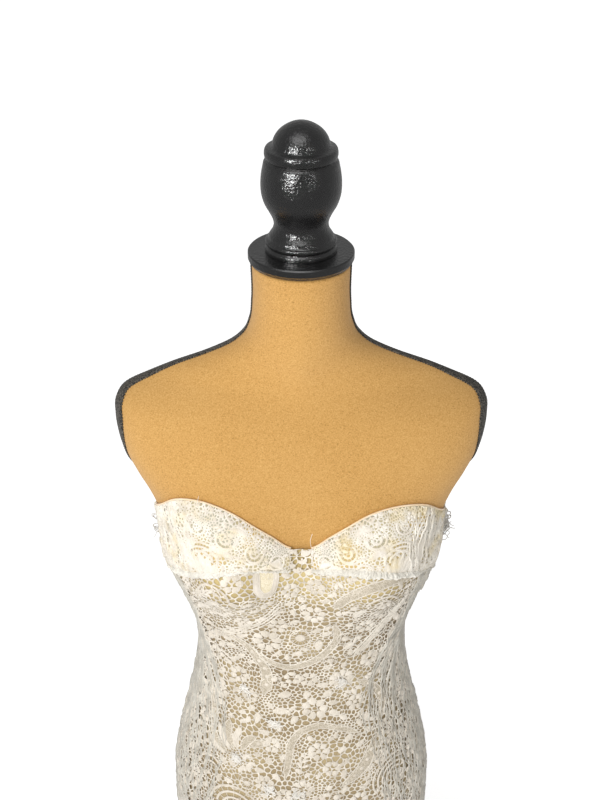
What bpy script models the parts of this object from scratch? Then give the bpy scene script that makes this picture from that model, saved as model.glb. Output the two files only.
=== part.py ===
"""A strapless lace mini dress with soft cups, on a padded dress form with a turned cap and a round foot."""

import math

import bmesh
import bpy
import numpy as np

# Heights, in metres above the floor. Tables give heights above the waist.
WAIST_HEIGHT = 0.680
FORM_BOTTOM = -0.310
NECK_TOP = 0.5035
HEM = -0.450

# Cross-sections of the figure, all the way round. Below FORM_BOTTOM they are the hanging skirt's.
SECTIONS = (
    # above_waist, half_width, front, back, squareness
    (-0.450, 0.1480, 0.098, 0.112, 2.2),
    (-0.400, 0.1510, 0.101, 0.116, 2.2),
    (-0.350, 0.1530, 0.104, 0.120, 2.2),
    (-0.310, 0.1540, 0.106, 0.123, 2.2),
    (-0.260, 0.1545, 0.108, 0.126, 2.2),
    (-0.210, 0.1552, 0.108, 0.126, 2.2),
    (-0.175, 0.1540, 0.107, 0.122, 2.2),
    (-0.122, 0.1450, 0.102, 0.111, 2.2),
    (-0.053, 0.1290, 0.092, 0.094, 2.2),
    (0.000, 0.1190, 0.085, 0.086, 2.2),
    (0.030, 0.1165, 0.084, 0.086, 2.2),
    (0.070, 0.1190, 0.087, 0.090, 2.2),
    (0.110, 0.1310, 0.091, 0.094, 2.2),
    (0.140, 0.1410, 0.093, 0.096, 2.3),
    (0.170, 0.1490, 0.094, 0.098, 2.5),
    (0.200, 0.1535, 0.094, 0.101, 2.6),
    (0.230, 0.1565, 0.092, 0.103, 2.6),
    (0.255, 0.1655, 0.089, 0.104, 2.7),
    (0.280, 0.1780, 0.084, 0.103, 2.8),
    (0.300, 0.1865, 0.079, 0.100, 2.8),
    (0.318, 0.1910, 0.074, 0.095, 2.7),
    (0.336, 0.1930, 0.068, 0.086, 2.5),
    (0.352, 0.1915, 0.061, 0.076, 2.2),
    (0.365, 0.1815, 0.054, 0.066, 1.8),
    (0.377, 0.1585, 0.049, 0.060, 1.5),
    (0.388, 0.1340, 0.047, 0.056, 1.4),
    (0.400, 0.1010, 0.047, 0.054, 1.4),
    (0.412, 0.0735, 0.048, 0.053, 1.6),
    (0.424, 0.0590, 0.048, 0.052, 1.8),
    (0.440, 0.0515, 0.048, 0.050, 2.0),
    (0.464, 0.0485, 0.048, 0.049, 2.0),
    (0.504, 0.0485, 0.0485, 0.0485, 2.0),
)
BUST_HEIGHT = 0.184
BUST_APART = 0.160
BUST_DEPTH = 0.032
BUST_SPREAD = 0.050
BUST_RISE = 0.060
BUST_FALL = 0.047

# Round the figure, a turn of 0 is the front centre, 0.25 the side at +X and 0.5 the back centre.
COLUMNS = 36
FORM_ROWS = (
    -0.310, -0.260, -0.210, -0.165, -0.120, -0.080, -0.040, 0.000, 0.030, 0.060, 0.095, 0.130, 0.155, 0.180,
    0.205, 0.230, 0.255, 0.280, 0.300, 0.320, 0.340, 0.356, 0.368, 0.380, 0.391, 0.403, 0.414, 0.426, 0.442,
    0.464, NECK_TOP,
)

# Layers of the cloth, as lifts off the form.
FORM_TO_LINING = 0.0022
LINING_WALL = 0.0010
LAYER_GAP = 0.0004
LACE_WALL = 0.0011
LACE_INNER = FORM_TO_LINING + LINING_WALL + LAYER_GAP
LACE_OUTER = LACE_INNER + LACE_WALL
SEAM_GAP = 0.0003
SEAM_TURN = 0.0003

# Edges of the pieces, the same on both sides.
NECKLINE = (
    # turn, above_waist
    (0.000, 0.2232), (0.012, 0.2236), (0.037, 0.2385), (0.059, 0.2510), (0.075, 0.2600), (0.092, 0.2667),
    (0.119, 0.2718), (0.146, 0.2688), (0.180, 0.2510), (0.200, 0.2420), (0.225, 0.2350), (0.250, 0.2300),
    (0.300, 0.2250), (0.400, 0.2180), (0.500, 0.2150),
)
UNDERBUST = (
    # turn, above_waist
    (0.000, 0.1990), (0.020, 0.2000), (0.043, 0.2045), (0.070, 0.2078), (0.090, 0.2057), (0.110, 0.2005),
    (0.130, 0.1935), (0.155, 0.1840), (0.180, 0.1725), (0.200, 0.1620), (0.225, 0.1500), (0.250, 0.1420),
)
GORE_TURN = 0.0118
CUP_TURNS = (0.0126, 0.2046)
WING_TURNS = (0.2052, 0.2222, 0.2361, 0.2497)
BACK_TURNS = (0.2503, 0.7497)
PANEL_ROWS = (
    -0.450, -0.415, -0.380, -0.345, -0.310, -0.260, -0.210, -0.165, -0.120, -0.080, -0.040, 0.000, 0.030, 0.060,
    0.095,
)
TOP_ROWS = 4

CUP_ROWS = 7
CUP_EDGE_WALL = 0.0030
CUP_CROWN = 0.0068
BINDING_HEIGHT = 0.0024
CUP_BINDING_WALL = 0.0030
BACK_BINDING_WALL = 0.0030
BAND_WIDTH = 0.0070
BAND_WALL = 0.0014
BAND_LIFT = 0.0056
BAND_TILT = 0.0032

# The largest gap of each repeat of the net is a lozenge cut through the lace.
GAP_WIDTH = 0.0052
GAP_HEIGHT = 0.0066
GAP_VARIES = 0.12

TAPE_HALF_WIDTH = 0.0070
TAPE_LIFT = 0.0003
TAPE_WALL = 0.0015
TAPE_BOTTOM = 0.2332

# Turned pieces, from their own lowest face up.
COLLAR_PROFILE = (
    # height, radius
    (0.0000, 0.0470), (0.0012, 0.0500), (0.0035, 0.0512), (0.0050, 0.0523), (0.0108, 0.0523), (0.0120, 0.0512),
)
FINIAL_PROFILE = (
    # height, radius
    (0.0000, 0.0353), (0.0040, 0.0353), (0.0063, 0.0338), (0.0085, 0.0348), (0.0115, 0.0344), (0.0125, 0.0326),
    (0.0160, 0.0312), (0.0200, 0.0285), (0.0250, 0.0268), (0.0285, 0.0266), (0.0330, 0.0276), (0.0400, 0.0308),
    (0.0480, 0.0352), (0.0570, 0.0380), (0.0660, 0.0388), (0.0760, 0.0382), (0.0850, 0.0366), (0.0905, 0.0350),
    (0.0920, 0.0332), (0.0936, 0.0346), (0.0975, 0.0354), (0.1015, 0.0345), (0.1035, 0.0300), (0.1060, 0.0290),
    (0.1110, 0.0272), (0.1165, 0.0232), (0.1215, 0.0165), (0.1250, 0.0080), (0.1262, 0.0000),
)
FINIAL_SIDES = 20
FOOT_PROFILE = (
    # height, radius
    (0.0000, 0.1880), (0.0030, 0.1900), (0.0120, 0.1900), (0.0160, 0.1860), (0.0200, 0.1500), (0.0230, 0.0600),
    (0.0240, 0.0300),
)
FOOT_SIDES = 40
SOCKET_PROFILE = ((0.0000, 0.0290), (0.0030, 0.0300), (0.0360, 0.0220), (0.0400, 0.0200))
SOCKET_BORE = 0.0163
FLANGE_PROFILE = ((0.0000, 0.0190), (0.0240, 0.0220), (0.0260, 0.0480), (0.0320, 0.0500))
POLE_RADIUS = 0.0160
POLE_SIDES = 20

FRINGE_TURN = 0.2137
FRINGE_STRAND = 0.0009
FRINGE_BACK_WIDTH = 0.0040
FRINGE_BACK_WALL = 0.0010
# The top and depth of each bunch, then a row for each strand.
FRINGE_MINUS_X = (0.222, 0.030, (
    # share_down, length, back, hang
    (0.08, 0.008, 0.2, -0.3), (0.20, 0.011, 0.5, 0.1), (0.32, 0.009, -0.1, -0.2), (0.44, 0.013, 0.3, 0.3),
    (0.56, 0.010, 0.6, 0.0), (0.68, 0.012, 0.1, 0.5), (0.80, 0.009, 0.4, 0.9), (0.92, 0.010, -0.1, 1.2),
))
FRINGE_PLUS_X = (0.235, 0.042, (
    # share_down, length, back, hang
    (0.05, 0.007, 0.2, -0.6), (0.14, 0.010, 0.5, -0.1), (0.24, 0.015, 0.3, 0.2), (0.33, 0.009, -0.2, 0.4),
    (0.42, 0.017, 0.2, 0.5), (0.51, 0.011, 0.6, 0.8), (0.60, 0.014, 0.1, 1.1), (0.69, 0.010, 0.4, 1.4),
    (0.78, 0.016, 0.0, 1.7), (0.87, 0.012, 0.5, 2.2), (0.95, 0.014, 0.2, 2.9),
))

# Principled colours, roughness and metallic value, as sRGB from 0 to 1.
FINISHES = {
    "ivory_lace": ((0.93, 0.90, 0.84), 0.75, 0.0),
    "nude_lining": ((0.76, 0.69, 0.55), 0.80, 0.0),
    "cup_lace": ((0.95, 0.93, 0.87), 0.75, 0.0),
    "nude_binding": ((0.93, 0.82, 0.68), 0.60, 0.0),
    "form_jersey": ((0.87, 0.67, 0.41), 0.90, 0.0),
    "black_braid": ((0.06, 0.06, 0.06), 0.80, 0.0),
    "black_wood": ((0.06, 0.06, 0.06), 0.40, 0.0),
    "black_steel": ((0.05, 0.05, 0.05), 0.45, 1.0),
}


def smooth_table(rows, at):
    """The table's other columns at the heights given, on a smooth curve through its rows."""
    rows = np.asarray(rows, float)
    at = np.clip(np.asarray(at, float), rows[0, 0], rows[-1, 0])
    knots, values = rows[:, 0], rows[:, 1:]
    steps = np.diff(knots)[:, None]
    slopes = np.diff(values, axis=0) / steps
    tangents = np.empty_like(values)
    tangents[1:-1] = (slopes[:-1] * steps[1:] + slopes[1:] * steps[:-1]) / (steps[1:] + steps[:-1])
    tangents[0], tangents[-1] = slopes[0], slopes[-1]
    k = np.clip(np.searchsorted(knots, at, side="right") - 1, 0, len(knots) - 2)
    width = np.diff(knots)[k][..., None]
    t = (at - knots[k])[..., None] / width
    return (
        (2 * t**3 - 3 * t**2 + 1) * values[k]
        + (t**3 - 2 * t**2 + t) * width * tangents[k]
        + (3 * t**2 - 2 * t**3) * values[k + 1]
        + (t**3 - t**2) * width * tangents[k + 1]
    )


def curve_height(table, turn):
    """Height above the waist of an edge at a turn, on both sides of the front centre."""
    turn = np.abs((np.asarray(turn, float) + 0.5) % 1.0 - 0.5)
    return smooth_table(table, turn)[..., 0]


def seam_height(turn):
    """Height of the seam under the bust, straight from one column of the front panel to the next."""
    knots = np.arange(COLUMNS // 4 + 1) / COLUMNS
    turn = np.abs((np.asarray(turn, float) + 0.5) % 1.0 - 0.5)
    return np.interp(turn, knots, curve_height(UNDERBUST, knots))


class Figure:
    """The form's smooth skin, which every piece of the dress is lifted from."""

    row_step = 0.0025
    samples = 288

    def __init__(self):
        self.heights = np.arange(HEM, NECK_TOP + self.row_step, self.row_step)
        grid = np.array([self.ring(z) for z in self.heights])
        self.points = grid
        self.normals = self.normals_of(grid)

    def ring(self, z):
        """One level section, sampled evenly along each quarter."""
        half_width, front, back, squareness = smooth_table(SECTIONS, z)
        quarter = self.samples // 4
        fine = np.linspace(0.0, math.pi / 2, 400)
        across = half_width * np.sin(fine) ** (2 / squareness)
        deep = np.cos(fine) ** (2 / squareness)
        fall = BUST_RISE if z > BUST_HEIGHT else BUST_FALL
        swell = BUST_DEPTH * math.exp(-(((z - BUST_HEIGHT) / fall) ** 2))
        swell = swell * np.exp(-(((across - BUST_APART / 2) / BUST_SPREAD) ** 2)) * np.sqrt(deep)
        sides = []
        for y in (-front * deep - swell, back * deep):
            run = np.concatenate([[0.0], np.cumsum(np.hypot(np.diff(across), np.diff(y)))])
            even = np.linspace(0.0, run[-1], quarter + 1)
            sides.append(np.stack([np.interp(even, run, across), np.interp(even, run, y)], axis=1))
        half = np.concatenate([sides[0], sides[1][::-1][1:]])
        other = half[1:-1][::-1] * (-1.0, 1.0)
        flat = np.concatenate([half, other])
        return np.column_stack([flat, np.full(len(flat), z)])

    @staticmethod
    def normals_of(grid):
        around = np.roll(grid, -1, axis=1) - np.roll(grid, 1, axis=1)
        up = np.gradient(grid, axis=0)
        normals = np.cross(around, up)
        return normals / np.linalg.norm(normals, axis=2, keepdims=True)

    def blend(self, grid, turn, z):
        row = np.clip((z - self.heights[0]) / self.row_step, 0, len(self.heights) - 1.001)
        column = (turn % 1.0) * self.samples
        i, j = row.astype(int), column.astype(int) % self.samples
        k = (j + 1) % self.samples
        u, v = (row - i)[..., None], (column - column.astype(int))[..., None]
        low = grid[i, j] * (1 - v) + grid[i, k] * v
        high = grid[i + 1, j] * (1 - v) + grid[i + 1, k] * v
        return low * (1 - u) + high * u

    def at(self, turn, z, lift=0.0):
        """Points lifted off the skin, in metres above the floor."""
        turn, z, lift = np.broadcast_arrays(np.asarray(turn, float), np.asarray(z, float), np.asarray(lift, float))
        normal = self.blend(self.normals, turn, z)
        normal = normal / np.linalg.norm(normal, axis=-1, keepdims=True)
        return self.blend(self.points, turn, z) + lift[..., None] * normal + (0.0, 0.0, WAIST_HEIGHT)

    def round_length(self, z):
        """How long one turn is at this height."""
        ring = self.blend(self.points, np.arange(self.samples) / self.samples, np.full(self.samples, z))
        return float(np.linalg.norm(ring - np.roll(ring, 1, axis=0), axis=1).sum())


FIGURE = Figure()


def material(finish):
    """A Principled material with the finish's colour, roughness and metallic value."""
    found = bpy.data.materials.get(finish)
    if found:
        return found
    colour, roughness, metallic = FINISHES[finish]
    made = bpy.data.materials.new(finish)
    made.use_nodes = True
    shader = made.node_tree.nodes["Principled BSDF"]
    linear = [c / 12.92 if c <= 0.04045 else ((c + 0.055) / 1.055) ** 2.4 for c in colour]
    shader.inputs["Base Color"].default_value = (*linear, 1.0)
    shader.inputs["Roughness"].default_value = roughness
    shader.inputs["Metallic"].default_value = metallic
    return made


def add_object(name, mesh, finish, sharp_degrees=40.0):
    mesh.materials.append(material(finish))
    mesh.shade_smooth()
    mesh.set_sharp_from_angle(angle=math.radians(sharp_degrees))
    made = bpy.data.objects.new(name, mesh)
    bpy.context.scene.collection.objects.link(made)
    return made


def mesh_of(name, points, faces):
    mesh = bpy.data.meshes.new(name)
    mesh.from_pydata([tuple(p) for p in points], [], faces)
    mesh.validate()
    return mesh


def zip_ring(corners, gap, points):
    """Triangles between a triangle and the gap inside it, both anticlockwise."""
    middle = np.mean([points[i] for i in gap], axis=0)
    edge = np.subtract(points[corners[1]], points[corners[0]])
    up = np.cross(edge, np.subtract(points[corners[2]], points[corners[0]]))
    along = edge / np.linalg.norm(edge)
    across = np.cross(up / np.linalg.norm(up), along)

    def angle(index):
        arm = np.subtract(points[index], middle)
        return math.atan2(arm @ across, arm @ along) % math.tau

    outer = sorted(corners, key=angle)
    inner = sorted(gap, key=angle)
    outer_angles = [angle(i) for i in outer] + [angle(outer[0]) + math.tau]
    inner_angles = [angle(i) for i in inner] + [angle(inner[0]) + math.tau]
    faces, i, j = [], 0, 0
    while i < len(outer) or j < len(inner):
        a, b = outer[i % len(outer)], inner[j % len(inner)]
        if j >= len(inner) or i < len(outer) and outer_angles[i + 1] <= inner_angles[j + 1]:
            faces.append((a, outer[(i + 1) % len(outer)], b))
            i += 1
        else:
            faces.append((a, inner[(j + 1) % len(inner)], b))
            j += 1
    return faces


def add_wall(name, inner, outer, finish, gap_of=None):
    """A closed wall between two grids of points, cut through by a lozenge where gap_of says.

    gap_of(row, column, half) gives the gap's half sizes, or None, for each triangle of the grid.
    """
    rows, columns = inner.shape[:2]
    count = rows * columns
    points = [*outer.reshape(-1, 3), *inner.reshape(-1, 3)]
    faces = []

    def add_triangle(corners, size):
        if size is None:
            faces.append(corners)
            faces.append(tuple(c + count for c in reversed(corners)))
            return
        a, b, c = (np.asarray(points[k]) for k in corners)
        sides = np.array([np.linalg.norm(b - c), np.linalg.norm(c - a), np.linalg.norm(a - b)])
        shares = sides / sides.sum()
        level = np.array([1.0, 1.0, 0.0]) * (b - a if abs((b - a)[2]) < abs((c - b)[2]) else c - b)
        level = level / np.linalg.norm(level)
        upward = np.cross(np.cross(b - a, c - a), level)
        upward = upward / np.linalg.norm(upward)
        rings = []
        for shift in (0, count):
            middle = sum(share * np.asarray(points[k + shift]) for share, k in zip(shares, corners))
            steps = (level * size[0], upward * size[1], -level * size[0], -upward * size[1])
            rings.append(range(len(points), len(points) + len(steps)))
            points.extend(middle + step for step in steps)
        faces.extend(zip_ring(corners, list(rings[0]), points))
        under = zip_ring([k + count for k in corners], list(rings[1]), points)
        faces.extend(tuple(reversed(face)) for face in under)
        for k in range(len(rings[0])):
            m = (k + 1) % len(rings[0])
            faces.append((rings[0][k], rings[0][m], rings[1][m], rings[1][k]))

    for r in range(rows - 1):
        for c in range(columns - 1):
            low = r * columns + c
            high = low + columns
            halves = ((low, low + 1, high + 1), (low, high + 1, high))
            for half, corners in enumerate(halves):
                add_triangle(corners, gap_of(r, c, half) if gap_of else None)
    border = [*range(columns)]
    border += [r * columns + columns - 1 for r in range(1, rows)]
    border += [(rows - 1) * columns + c for c in range(columns - 2, -1, -1)]
    border += [r * columns for r in range(rows - 2, 0, -1)]
    for k, start in enumerate(border):
        end = border[(k + 1) % len(border)]
        faces.append((end, start, start + count, end + count))
    return add_object(name, mesh_of(name, points, faces), finish)


def add_skin_wall(name, turns, heights, lift_in, lift_out, finish, gap_of=None):
    """A wall on the figure between two lifts, on a grid of turns and heights."""
    turns, heights = np.broadcast_arrays(turns, heights)
    inner, outer = FIGURE.at(turns, heights, lift_in), FIGURE.at(turns, heights, lift_out)
    return add_wall(name, inner, outer, finish, gap_of)


def add_turned(name, profile, sides, finish, bottom, bore=0.0):
    """A piece turned about the upright axis, with a flat foot and, if it has a bore, a hole right through."""
    shape = bmesh.new()
    outline = [(r, z) for z, r in profile]
    if bore:
        outline = [(bore, profile[0][0]), *outline, (bore, profile[-1][0])]
    else:
        outline = [(0.0, profile[0][0]), *outline]
        if profile[-1][1] > 0:
            outline.append((0.0, profile[-1][0]))
    corners = [shape.verts.new((r, 0.0, z)) for r, z in outline]
    pairs = list(zip(corners, corners[1:]))
    if bore:
        pairs.append((corners[-1], corners[0]))
    edges = [shape.edges.new(pair) for pair in pairs]
    bmesh.ops.spin(
        shape, geom=[*corners, *edges], cent=(0, 0, 0), axis=(0, 0, 1), angle=math.tau, steps=sides, use_merge=True
    )
    bmesh.ops.remove_doubles(shape, verts=shape.verts, dist=1e-6)
    bmesh.ops.recalc_face_normals(shape, faces=shape.faces)
    mesh = bpy.data.meshes.new(name)
    shape.to_mesh(mesh)
    shape.free()
    made = add_object(name, mesh, finish, sharp_degrees=30.0)
    made.location.z = bottom
    return made


def panel_heights(turns, top):
    """Level rows up the panel, then rows that close in on its top edge."""
    level = np.tile(np.array(PANEL_ROWS)[:, None], (1, len(turns)))
    share = (np.arange(1, TOP_ROWS + 1) / TOP_ROWS)[:, None]
    return np.concatenate([level, level[-1] + share * (top - level[-1])])


def add_form():
    """The padded torso, from its flat bottom to the top of the neck, and the stand that carries it."""
    turns = np.arange(COLUMNS) / COLUMNS
    grid = FIGURE.at(turns[None, :], np.array(FORM_ROWS)[:, None])
    faces = []
    for r in range(len(FORM_ROWS) - 1):
        for c in range(COLUMNS):
            low, beside = r * COLUMNS + c, r * COLUMNS + (c + 1) % COLUMNS
            faces.append((low, beside, beside + COLUMNS, low + COLUMNS))
    faces.append(tuple(reversed(range(COLUMNS))))
    faces.append(tuple((len(FORM_ROWS) - 1) * COLUMNS + c for c in range(COLUMNS)))
    add_object("form_torso", mesh_of("form_torso", grid.reshape(-1, 3), faces), "form_jersey")
    collar_bottom = WAIST_HEIGHT + NECK_TOP + SEAM_GAP
    finial_bottom = collar_bottom + COLLAR_PROFILE[-1][0] + SEAM_GAP
    add_turned("neck_collar", COLLAR_PROFILE, COLUMNS, "black_wood", collar_bottom)
    add_turned("finial", FINIAL_PROFILE, FINIAL_SIDES, "black_wood", finial_bottom)
    flange_bottom = WAIST_HEIGHT + FORM_BOTTOM - SEAM_GAP - FLANGE_PROFILE[-1][0]
    foot_top = FOOT_PROFILE[-1][0]
    pole = ((foot_top + SEAM_GAP, POLE_RADIUS), (flange_bottom - SEAM_GAP, POLE_RADIUS))
    add_turned("foot", FOOT_PROFILE, FOOT_SIDES, "black_wood", 0.0)
    add_turned("pole_socket", SOCKET_PROFILE, POLE_SIDES, "black_wood", foot_top + SEAM_GAP, bore=SOCKET_BORE)
    add_turned("pole", pole, POLE_SIDES, "black_steel", 0.0)
    add_turned("form_flange", FLANGE_PROFILE, POLE_SIDES, "black_wood", flange_bottom)


def add_tape(name, side):
    """Braid laid over the side seam, from the neck along the shoulder and down past the arm."""
    heights = np.array([TAPE_BOTTOM, *(z for z in FORM_ROWS if z > TAPE_BOTTOM)])
    half = np.array([TAPE_HALF_WIDTH / FIGURE.round_length(z) for z in heights])
    turns = side * 0.25 + half[:, None] * np.array([-1.0, 0.0, 1.0])
    lifts = (TAPE_LIFT, TAPE_LIFT + TAPE_WALL)
    add_skin_wall(name, turns, heights[:, None], *lifts, "black_braid")


def lace_gap(row, column, half):
    """Half sizes of the net gap in one triangle of a panel, or None at its edges and where a motif lies."""
    inside = 1 <= row < len(PANEL_ROWS) - 1 and 1 <= column < COLUMNS // 2 - 1
    on_net = (row + column) % 2 == 0 and half == row // 2 % 2
    on_motif = (3 * row + column) % 7 == 0
    if not inside or not on_net or on_motif:
        return None
    grow = 1.0 + GAP_VARIES * math.sin(2.1 * row + 1.3 * column + half)
    return GAP_WIDTH / 2 * grow, GAP_HEIGHT / 2 * grow


def add_body_panels():
    """The lining and the lace over it, front and back, which share one grid."""
    front = np.arange(-COLUMNS // 4, COLUMNS // 4 + 1) / COLUMNS
    front[0], front[-1] = -0.25 + SEAM_TURN, 0.25 - SEAM_TURN
    back = np.arange(COLUMNS // 4, 3 * COLUMNS // 4 + 1) / COLUMNS
    back[0], back[-1] = BACK_TURNS
    tops = {"front": seam_height(front), "back": curve_height(NECKLINE, back)}
    for place, turns in (("front", front), ("back", back)):
        heights = panel_heights(turns, tops[place])
        turns = np.broadcast_to(turns, heights.shape)
        lining = (FORM_TO_LINING, FORM_TO_LINING + LINING_WALL)
        add_skin_wall(f"lining_{place}", turns, heights, *lining, "nude_lining")
        lace = (LACE_INNER, LACE_OUTER)
        add_skin_wall(f"lace_{place}", turns, heights, *lace, "ivory_lace", lace_gap)


def cup_lift(across, up):
    """How far a cup's outer face stands off the form, thin at its edges and thickest in its middle."""
    crown = (1.0 - np.abs(2.0 * across - 1.0) ** 3) * (1.0 - np.abs(2.0 * up - 1.0) ** 4)
    return FORM_TO_LINING + CUP_EDGE_WALL + CUP_CROWN * crown


def cup_turns():
    """A cup's columns: its ends, and every half column of the front panel between them."""
    halves = np.arange(2, 15) / (2 * COLUMNS)
    return np.array([CUP_TURNS[0], *halves, CUP_TURNS[1]])


def cup_grid(side):
    """Turns, heights and outer lifts of one cup, from its underbust seam up to the neckline."""
    turns = cup_turns()
    across = (turns - turns[0]) / (turns[-1] - turns[0])
    up = np.linspace(0.0, 1.0, CUP_ROWS + 1)[:, None]
    low = seam_height(turns) + 2 * SEAM_GAP
    high = curve_height(NECKLINE, turns)
    heights = low + up * (high - low)
    lifts = cup_lift(across, up)
    turns = np.broadcast_to(side * turns, heights.shape)
    if side < 0:
        return turns[:, ::-1], heights[:, ::-1], lifts[:, ::-1]
    return turns, heights, lifts


def add_cup(name, side):
    turns, heights, lifts = cup_grid(side)
    add_skin_wall(name, turns, heights, np.full(lifts.shape, FORM_TO_LINING), lifts, "cup_lace")


def add_cup_band(name, side):
    """The raised trim along the seam under a cup."""
    turns, heights, _ = cup_grid(side)
    turns = turns[0]
    middle = seam_height(turns)
    heights = middle + (np.array([-0.5, 0.0, 0.5]) * BAND_WIDTH)[:, None]
    base = BAND_LIFT + BAND_TILT * np.array([0.0, 0.5, 1.0])[:, None]
    top = base + BAND_WALL * np.array([0.7, 1.3, 0.7])[:, None]
    add_skin_wall(name, turns, heights, base, top, "cup_lace")


def add_binding(name, turns, wall):
    """A narrow edge of bare lining cloth that stands along the top of the cups or the back."""
    heights = curve_height(NECKLINE, turns) + SEAM_GAP + np.array([0.0, BINDING_HEIGHT])[:, None]
    turns = np.broadcast_to(turns, heights.shape)
    add_skin_wall(name, turns, heights, FORM_TO_LINING, FORM_TO_LINING + wall, "nude_binding")


def add_gore():
    """The bridge between the cups."""
    turns = np.array([-GORE_TURN, 0.0, GORE_TURN])
    low = seam_height(turns) + 2 * SEAM_GAP
    high = curve_height(NECKLINE, turns)
    heights = low + np.linspace(0.0, 1.0, 5)[:, None] * (high - low)
    add_skin_wall("gore", turns, heights, FORM_TO_LINING, LACE_OUTER, "ivory_lace")


def add_wing(name, side):
    """The side piece between a cup and the side seam."""
    turns = side * np.array(WING_TURNS)[::side]
    low = seam_height(turns) + 2 * SEAM_GAP
    high = curve_height(NECKLINE, turns)
    heights = low + np.linspace(0.0, 1.0, 5)[:, None] * (high - low)
    add_skin_wall(name, turns, heights, FORM_TO_LINING, LACE_OUTER, "ivory_lace")


def strand_mesh(root, tip, droop):
    """One three-sided thread that leaves along one way and bends towards the floor."""
    middle = (root + tip) / 2 + (0.0, 0.0, droop)
    centres = [root, middle, tip]
    points, faces = [], []
    for k, centre in enumerate(centres):
        ahead = np.subtract(centres[min(k + 1, 2)], centres[max(k - 1, 0)])
        ahead = ahead / np.linalg.norm(ahead)
        sideways = np.cross(ahead, (0.0, 1.0, 0.2))
        sideways = sideways / np.linalg.norm(sideways)
        upward = np.cross(ahead, sideways)
        radius = FRINGE_STRAND / 2 * (1.0 - 0.25 * k)
        for corner in range(3):
            angle = math.tau * corner / 3
            points.append(centre + radius * (math.cos(angle) * sideways + math.sin(angle) * upward))
    for k in range(2):
        for corner in range(3):
            beside = (corner + 1) % 3
            faces.append((3 * k + corner, 3 * k + beside, 3 * k + 3 + beside, 3 * k + 3 + corner))
    faces.append((2, 1, 0))
    faces.append((6, 7, 8))
    return points, faces


def add_fringe(name, side, fringe):
    """Loose lace threads at the top of a side seam, fused into a narrow strip that lies on the lace."""
    top, depth, strands = fringe
    half = FRINGE_BACK_WIDTH / 2 / FIGURE.round_length(top)
    turns = side * FRINGE_TURN + half * np.array([-1.0, 1.0])
    heights = np.linspace(top - depth, top, 5)[:, None]
    base = LACE_OUTER + SEAM_GAP
    strip = add_skin_wall(name, turns, heights, base, base + FRINGE_BACK_WALL, "ivory_lace")
    for number, (share, length, back, hang) in enumerate(strands):
        root = FIGURE.at(side * FRINGE_TURN, top - share * depth, base + FRINGE_BACK_WALL / 2)
        out = np.array([side * 1.0, 0.35 * back, -hang])
        tip = root + length * out / np.linalg.norm(out)
        points, faces = strand_mesh(root, tip, 0.12 * length)
        thread = bpy.data.objects.new(f"{name}_thread_{number}", mesh_of("thread", points, faces))
        shape = bmesh.new()
        shape.from_mesh(thread.data)
        bmesh.ops.recalc_face_normals(shape, faces=shape.faces)
        shape.to_mesh(thread.data)
        shape.free()
        bpy.context.scene.collection.objects.link(thread)
        thread.hide_render = True
        thread.display_type = "WIRE"
        join = strip.modifiers.new(thread.name, "BOOLEAN")
        join.operation = "UNION"
        join.object = thread


def main():
    for old in list(bpy.data.objects):
        bpy.data.objects.remove(old)
    add_form()
    add_body_panels()
    add_gore()
    for word, side in (("left", 1), ("right", -1)):
        add_tape(f"tape_{word}", side)
        add_cup(f"cup_{word}", side)
        add_cup_band(f"cup_band_{word}", side)
        add_wing(f"wing_{word}", side)
        span = side * np.array([*cup_turns(), *WING_TURNS])[::side]
        add_binding(f"cup_edge_{word}", span, CUP_BINDING_WALL)
    back = np.arange(COLUMNS // 4, 3 * COLUMNS // 4 + 1) / COLUMNS
    back[0], back[-1] = BACK_TURNS
    add_binding("back_edge", back, BACK_BINDING_WALL)
    add_fringe("fringe_left", 1, FRINGE_PLUS_X)
    add_fringe("fringe_right", -1, FRINGE_MINUS_X)


main()
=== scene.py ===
# Strapless lace mini dress on a padded dress form: the looks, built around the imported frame
import math
import time

import bpy
import numpy as np
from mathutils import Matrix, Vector
from mathutils.geometry import delaunay_2d_cdt


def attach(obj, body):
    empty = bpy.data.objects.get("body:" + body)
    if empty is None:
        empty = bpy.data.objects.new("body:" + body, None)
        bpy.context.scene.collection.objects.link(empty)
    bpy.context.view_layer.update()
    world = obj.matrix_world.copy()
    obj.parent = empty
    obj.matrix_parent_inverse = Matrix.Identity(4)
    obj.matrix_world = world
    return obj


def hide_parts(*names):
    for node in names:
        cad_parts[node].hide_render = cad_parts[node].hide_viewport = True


startTime = time.time()
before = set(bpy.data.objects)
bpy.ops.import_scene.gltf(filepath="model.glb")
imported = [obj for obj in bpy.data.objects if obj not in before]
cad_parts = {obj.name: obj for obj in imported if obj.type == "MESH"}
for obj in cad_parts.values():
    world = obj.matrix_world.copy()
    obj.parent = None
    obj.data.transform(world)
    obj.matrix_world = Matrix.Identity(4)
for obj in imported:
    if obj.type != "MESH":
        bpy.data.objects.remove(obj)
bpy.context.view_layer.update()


def say(words):
    print(f"{time.time() - startTime:6.1f} s  {words}")


# The figure, as in the part's source: metres, heights from the waist
figure = {
    "waistHeight": 0.680,
    "hem": -0.450,
    "formBottom": -0.310,
    "neckTop": 0.5035,
    "bustHeight": 0.184,
    "bustApart": 0.160,
    "bustDepth": 0.032,
    "bustSpread": 0.050,
    "bustRise": 0.060,
    "bustFall": 0.047,
    "rowStep": 0.0025,
    "samples": 720,
    "fineSteps": 800,
}
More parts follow.
